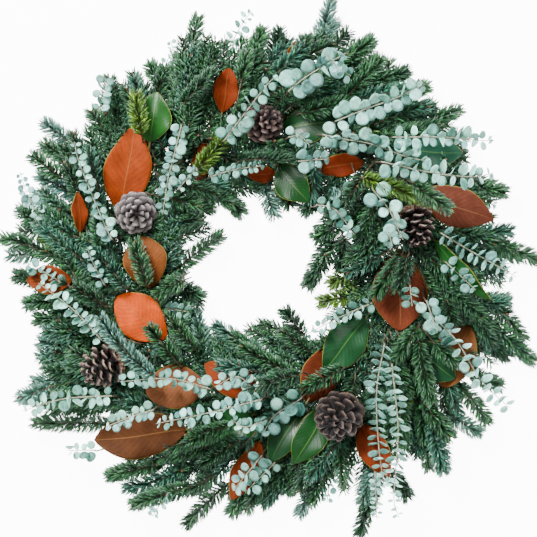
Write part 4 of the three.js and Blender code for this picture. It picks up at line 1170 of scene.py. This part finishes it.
class WREATH_OT_magnolia(Operator):
    """Makes the magnolia leaves, copper felt on one side and glossy green on the other."""

    bl_idname = "wreath.magnolia"
    bl_label = "Magnolia leaves"

    def execute(self, context):
        """One object for each leaf with its stalk."""
        s = context.scene.wreath_magnolia
        copper, green = copper_material(), glossy_material()
        for number, node, base, tip, width, blunt, roll, arch, colour in leaf_places():
            felt_up = "copper" in node
            points, quads, second, flow, stalk = leaf_surface(
                base, tip, width, blunt, roll, arch, s.blade, s.wave, number + 3)
            shown, turned = (copper, green) if felt_up else (green, copper)
            away = s.back_green if felt_up else s.back_copper
            half = len(points) // 2
            tint = np.concatenate([plain_tint(points[:half], colour), plain_tint(points[half:], away),
                                   plain_tint(stalk[0], (0.16, 0.13, 0.04))])
            points, quads, tris, flow = join((points, quads, (), flow),
                                             (*stalk, np.full((len(stalk[0]), 2), 0.5)))
            marks = np.zeros(len(quads) + len(tris))
            marks[: len(second)] = second
            obj = surface(node + "_leaf", points, quads, tris, tint, flow, [shown, turned], marks)
            ready(obj,
                  [node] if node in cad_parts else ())
        return {"FINISHED"}


class WREATH_OT_eucalyptus(Operator):
    """Makes the eucalyptus stems with their pairs of round leaves."""

    bl_idname = "wreath.eucalyptus"
    bl_label = "Eucalyptus stems"

    def execute(self, context):
        """One object of leaves, one of stems and one of wood for each clamp."""
        s = context.scene.wreath_eucalyptus
        rng = np.random.default_rng(s.seed)
        wax = wax_material()
        skin = bark_material("eucalyptus_stem", (0.20, 0.19, 0.12), (0.46, 0.44, 0.33))
        bark = bark_material("eucalyptus_bark", (0.040, 0.030, 0.020), (0.16, 0.12, 0.08))
        for k, group in enumerate(eucalyptus_twigs(s.scale)):
            name = f"eucalyptus_{k + 1:02d}"
            leaves, stems, wood = [], [], []
            for size, lean, control, hub in group:
                path = spline(control, STEM_STEPS)
                leaves += leaf_rows(path, size, lean, s, rng)
                stems.append(tubes([path], np.linspace(0.0009, 0.00045, STEM_STEPS)))
                wood.append(tubes([tail_path(hub, control[0], control[1])], TAIL_RADIUS))
            stem = thick_stem("eucalyptus", k, np.linspace(0, 1, FORK_STEPS))
            wood.append(tubes([stem], np.linspace(0.0034, 0.0026, FORK_STEPS), 8))
            points, quads, tris, tint, flow = join(*leaves)
            ready(surface(f"{name}_leaves", points, quads, tris, tint, flow, [wax]), [name])
            points, quads, tris = join(*stems)
            ready(surface(f"{name}_stems", points, quads, tris, materials=[skin]), [name])
            points, quads, tris = join(*wood)
            ready(surface(f"{name}_wood", points, quads, tris, materials=[bark]), [name])
        return {"FINISHED"}


class WREATH_OT_cones(Operator):
    """Makes the pine cones scale by scale."""

    bl_idname = "wreath.cones"
    bl_label = "Pine cones"

    def execute(self, context):
        """One object for each cone."""
        s = context.scene.wreath_cones
        rng = np.random.default_rng(s.seed)
        material = scale_material()
        for i, (x, y, radius, length, axis, rim, face, inside) in enumerate(PINE_CONES):
            node = f"pine_cone_{i + 1}"
            low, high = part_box(node)
            centre = on_face(x, y, 0.5 * (low[2] + high[2]))
            points, quads, tint, core = cone_surface(
                centre, 0.001 * radius, 0.001 * length, axis, s.scales, (inside, face, rim), rng)
            knobs, dome = cone_base(centre, 0.001 * radius, 0.001 * length, axis)
            speckle = np.repeat(rng.uniform(0.6, 1.3, KNOBS), len(knobs[0]) // KNOBS)[:, None]
            # Painted shade: the core is painted the near-black inside colour, and the dome between the knobs
            # is painted at about a third of the knobs' colour.
            points, quads, tris, tint = join(
                (points, quads, (), tint), (*core, plain_tint(core[0], inside)),
                (*knobs, plain_tint(knobs[0], s.base) * speckle),
                (*dome, plain_tint(dome[0], s.base) * 0.35))
            obj = surface(f"{node}_scales", points, quads, tris, tint, materials=[material])
            ready(obj, [node])
        return {"FINISHED"}


class WREATH_OT_stage(Operator):
    """Makes the white surface, the soft lights and the camera that looks straight down."""

    bl_idname = "wreath.stage"
    bl_label = "Stage"

    def execute(self, context):
        """Surface, lights, surroundings and camera."""
        s = context.scene.wreath_stage
        half, level = 4.0, -0.0004
        corners = [(-half, -half, level), (half, -half, level), (half, half, level), (-half, half, level)]
        material, tree, shader = new_material(
            "white_surface", 0.9, specular_ior_level=0.1, emission_color=(1.0, 1.0, 1.0, 1.0),
            emission_strength=s.glow)
        cloud = noise(tree, 2.0)
        tones = [(0.0, (0.90, 0.90, 0.91)), (1.0, (0.93, 0.93, 0.935))]
        white = ramp(tree, cloud.outputs["Fac"], tones)
        tree.links.new(white, shader.inputs["Base Color"])
        surface("white_table", corners, [[0, 1, 2, 3]], materials=[material], smooth=False)
        for name, place, size, power in (
            ("key", (-1.3, 1.9, 2.4), 0.8, s.key), ("fill", (1.9, -1.1, 1.7), 1.6, s.fill),
            ("sheen", (-0.9, 0.7, 2.4), 1.0, s.sheen),
        ):
            light = bpy.data.lights.new(name, "AREA")
            light.energy, light.size = power, size
            lamp = bpy.data.objects.new(name, light)
            lamp.location = place
            aim = -np.array(place)
            lamp.rotation_euler = (math.acos(-aim[2] / np.linalg.norm(aim)), 0,
                                   math.atan2(aim[1], aim[0]) - math.pi / 2)
            bpy.context.scene.collection.objects.link(lamp)
        world = bpy.data.worlds.new("white_room")
        world.use_nodes = True
        world.node_tree.nodes["Background"].inputs["Color"].default_value = (1.0, 1.0, 1.0, 1.0)
        world.node_tree.nodes["Background"].inputs["Strength"].default_value = s.sky
        context.scene.world = world
        camera = bpy.data.cameras.new("above")
        camera.lens = camera.sensor_width / 2 * (s.distance - FACE_HEIGHT) / (OVERALL / 2)
        camera.clip_end = 50
        eye = bpy.data.objects.new("above", camera)
        eye.location = (0.0, 0.0, s.distance)
        bpy.context.scene.collection.objects.link(eye)
        context.scene.camera = eye
        return {"FINISHED"}


class WREATH_PT_panel(Panel):
    """The wreath's settings and steps."""

    bl_idname = "WREATH_PT_panel"
    bl_label = "Evergreen Wreath"
    bl_space_type = "VIEW_3D"
    bl_region_type = "UI"
    bl_category = "Wreath"

    def draw(self, context):
        """Each group's settings over its button."""
        for group, operator in STEPS:
            box = self.layout.box()
            settings = getattr(context.scene, group)
            for key in settings.__annotations__:
                box.prop(settings, key)
            box.operator(operator)


STEPS = [
    ("wreath_stage", "wreath.stage"), ("wreath_wire", "wreath.ring"), ("wreath_fir", "wreath.fir"),
    ("wreath_magnolia", "wreath.magnolia"), ("wreath_cones", "wreath.cones"),
    ("wreath_eucalyptus", "wreath.eucalyptus"),
]
GROUPS = {
    "wreath_wire": WireSettings, "wreath_fir": FirSettings, "wreath_magnolia": MagnoliaSettings,
    "wreath_eucalyptus": EucalyptusSettings, "wreath_cones": ConeSettings, "wreath_stage": StageSettings,
}
CLASSES = [*GROUPS.values(), WREATH_OT_stage, WREATH_OT_ring, WREATH_OT_fir, WREATH_OT_magnolia,
           WREATH_OT_cones, WREATH_OT_eucalyptus, WREATH_PT_panel]


def register():
    """Registers the classes and hangs the settings on the scene."""
    for cls in CLASSES:
        bpy.utils.register_class(cls)
    for name, cls in GROUPS.items():
        setattr(bpy.types.Scene, name, PointerProperty(type=cls))


def unregister():
    """Takes the settings and the classes away again."""
    for name in GROUPS:
        delattr(bpy.types.Scene, name)
    for cls in reversed(CLASSES):
        bpy.utils.unregister_class(cls)


def main():
    """Makes the whole wreath."""
    register()
    bpy.ops.wreath.stage()
    bpy.ops.wreath.ring()
    bpy.ops.wreath.fir()
    bpy.ops.wreath.magnolia()
    bpy.ops.wreath.cones()
    bpy.ops.wreath.eucalyptus()


if __name__ == "__main__":
    main()
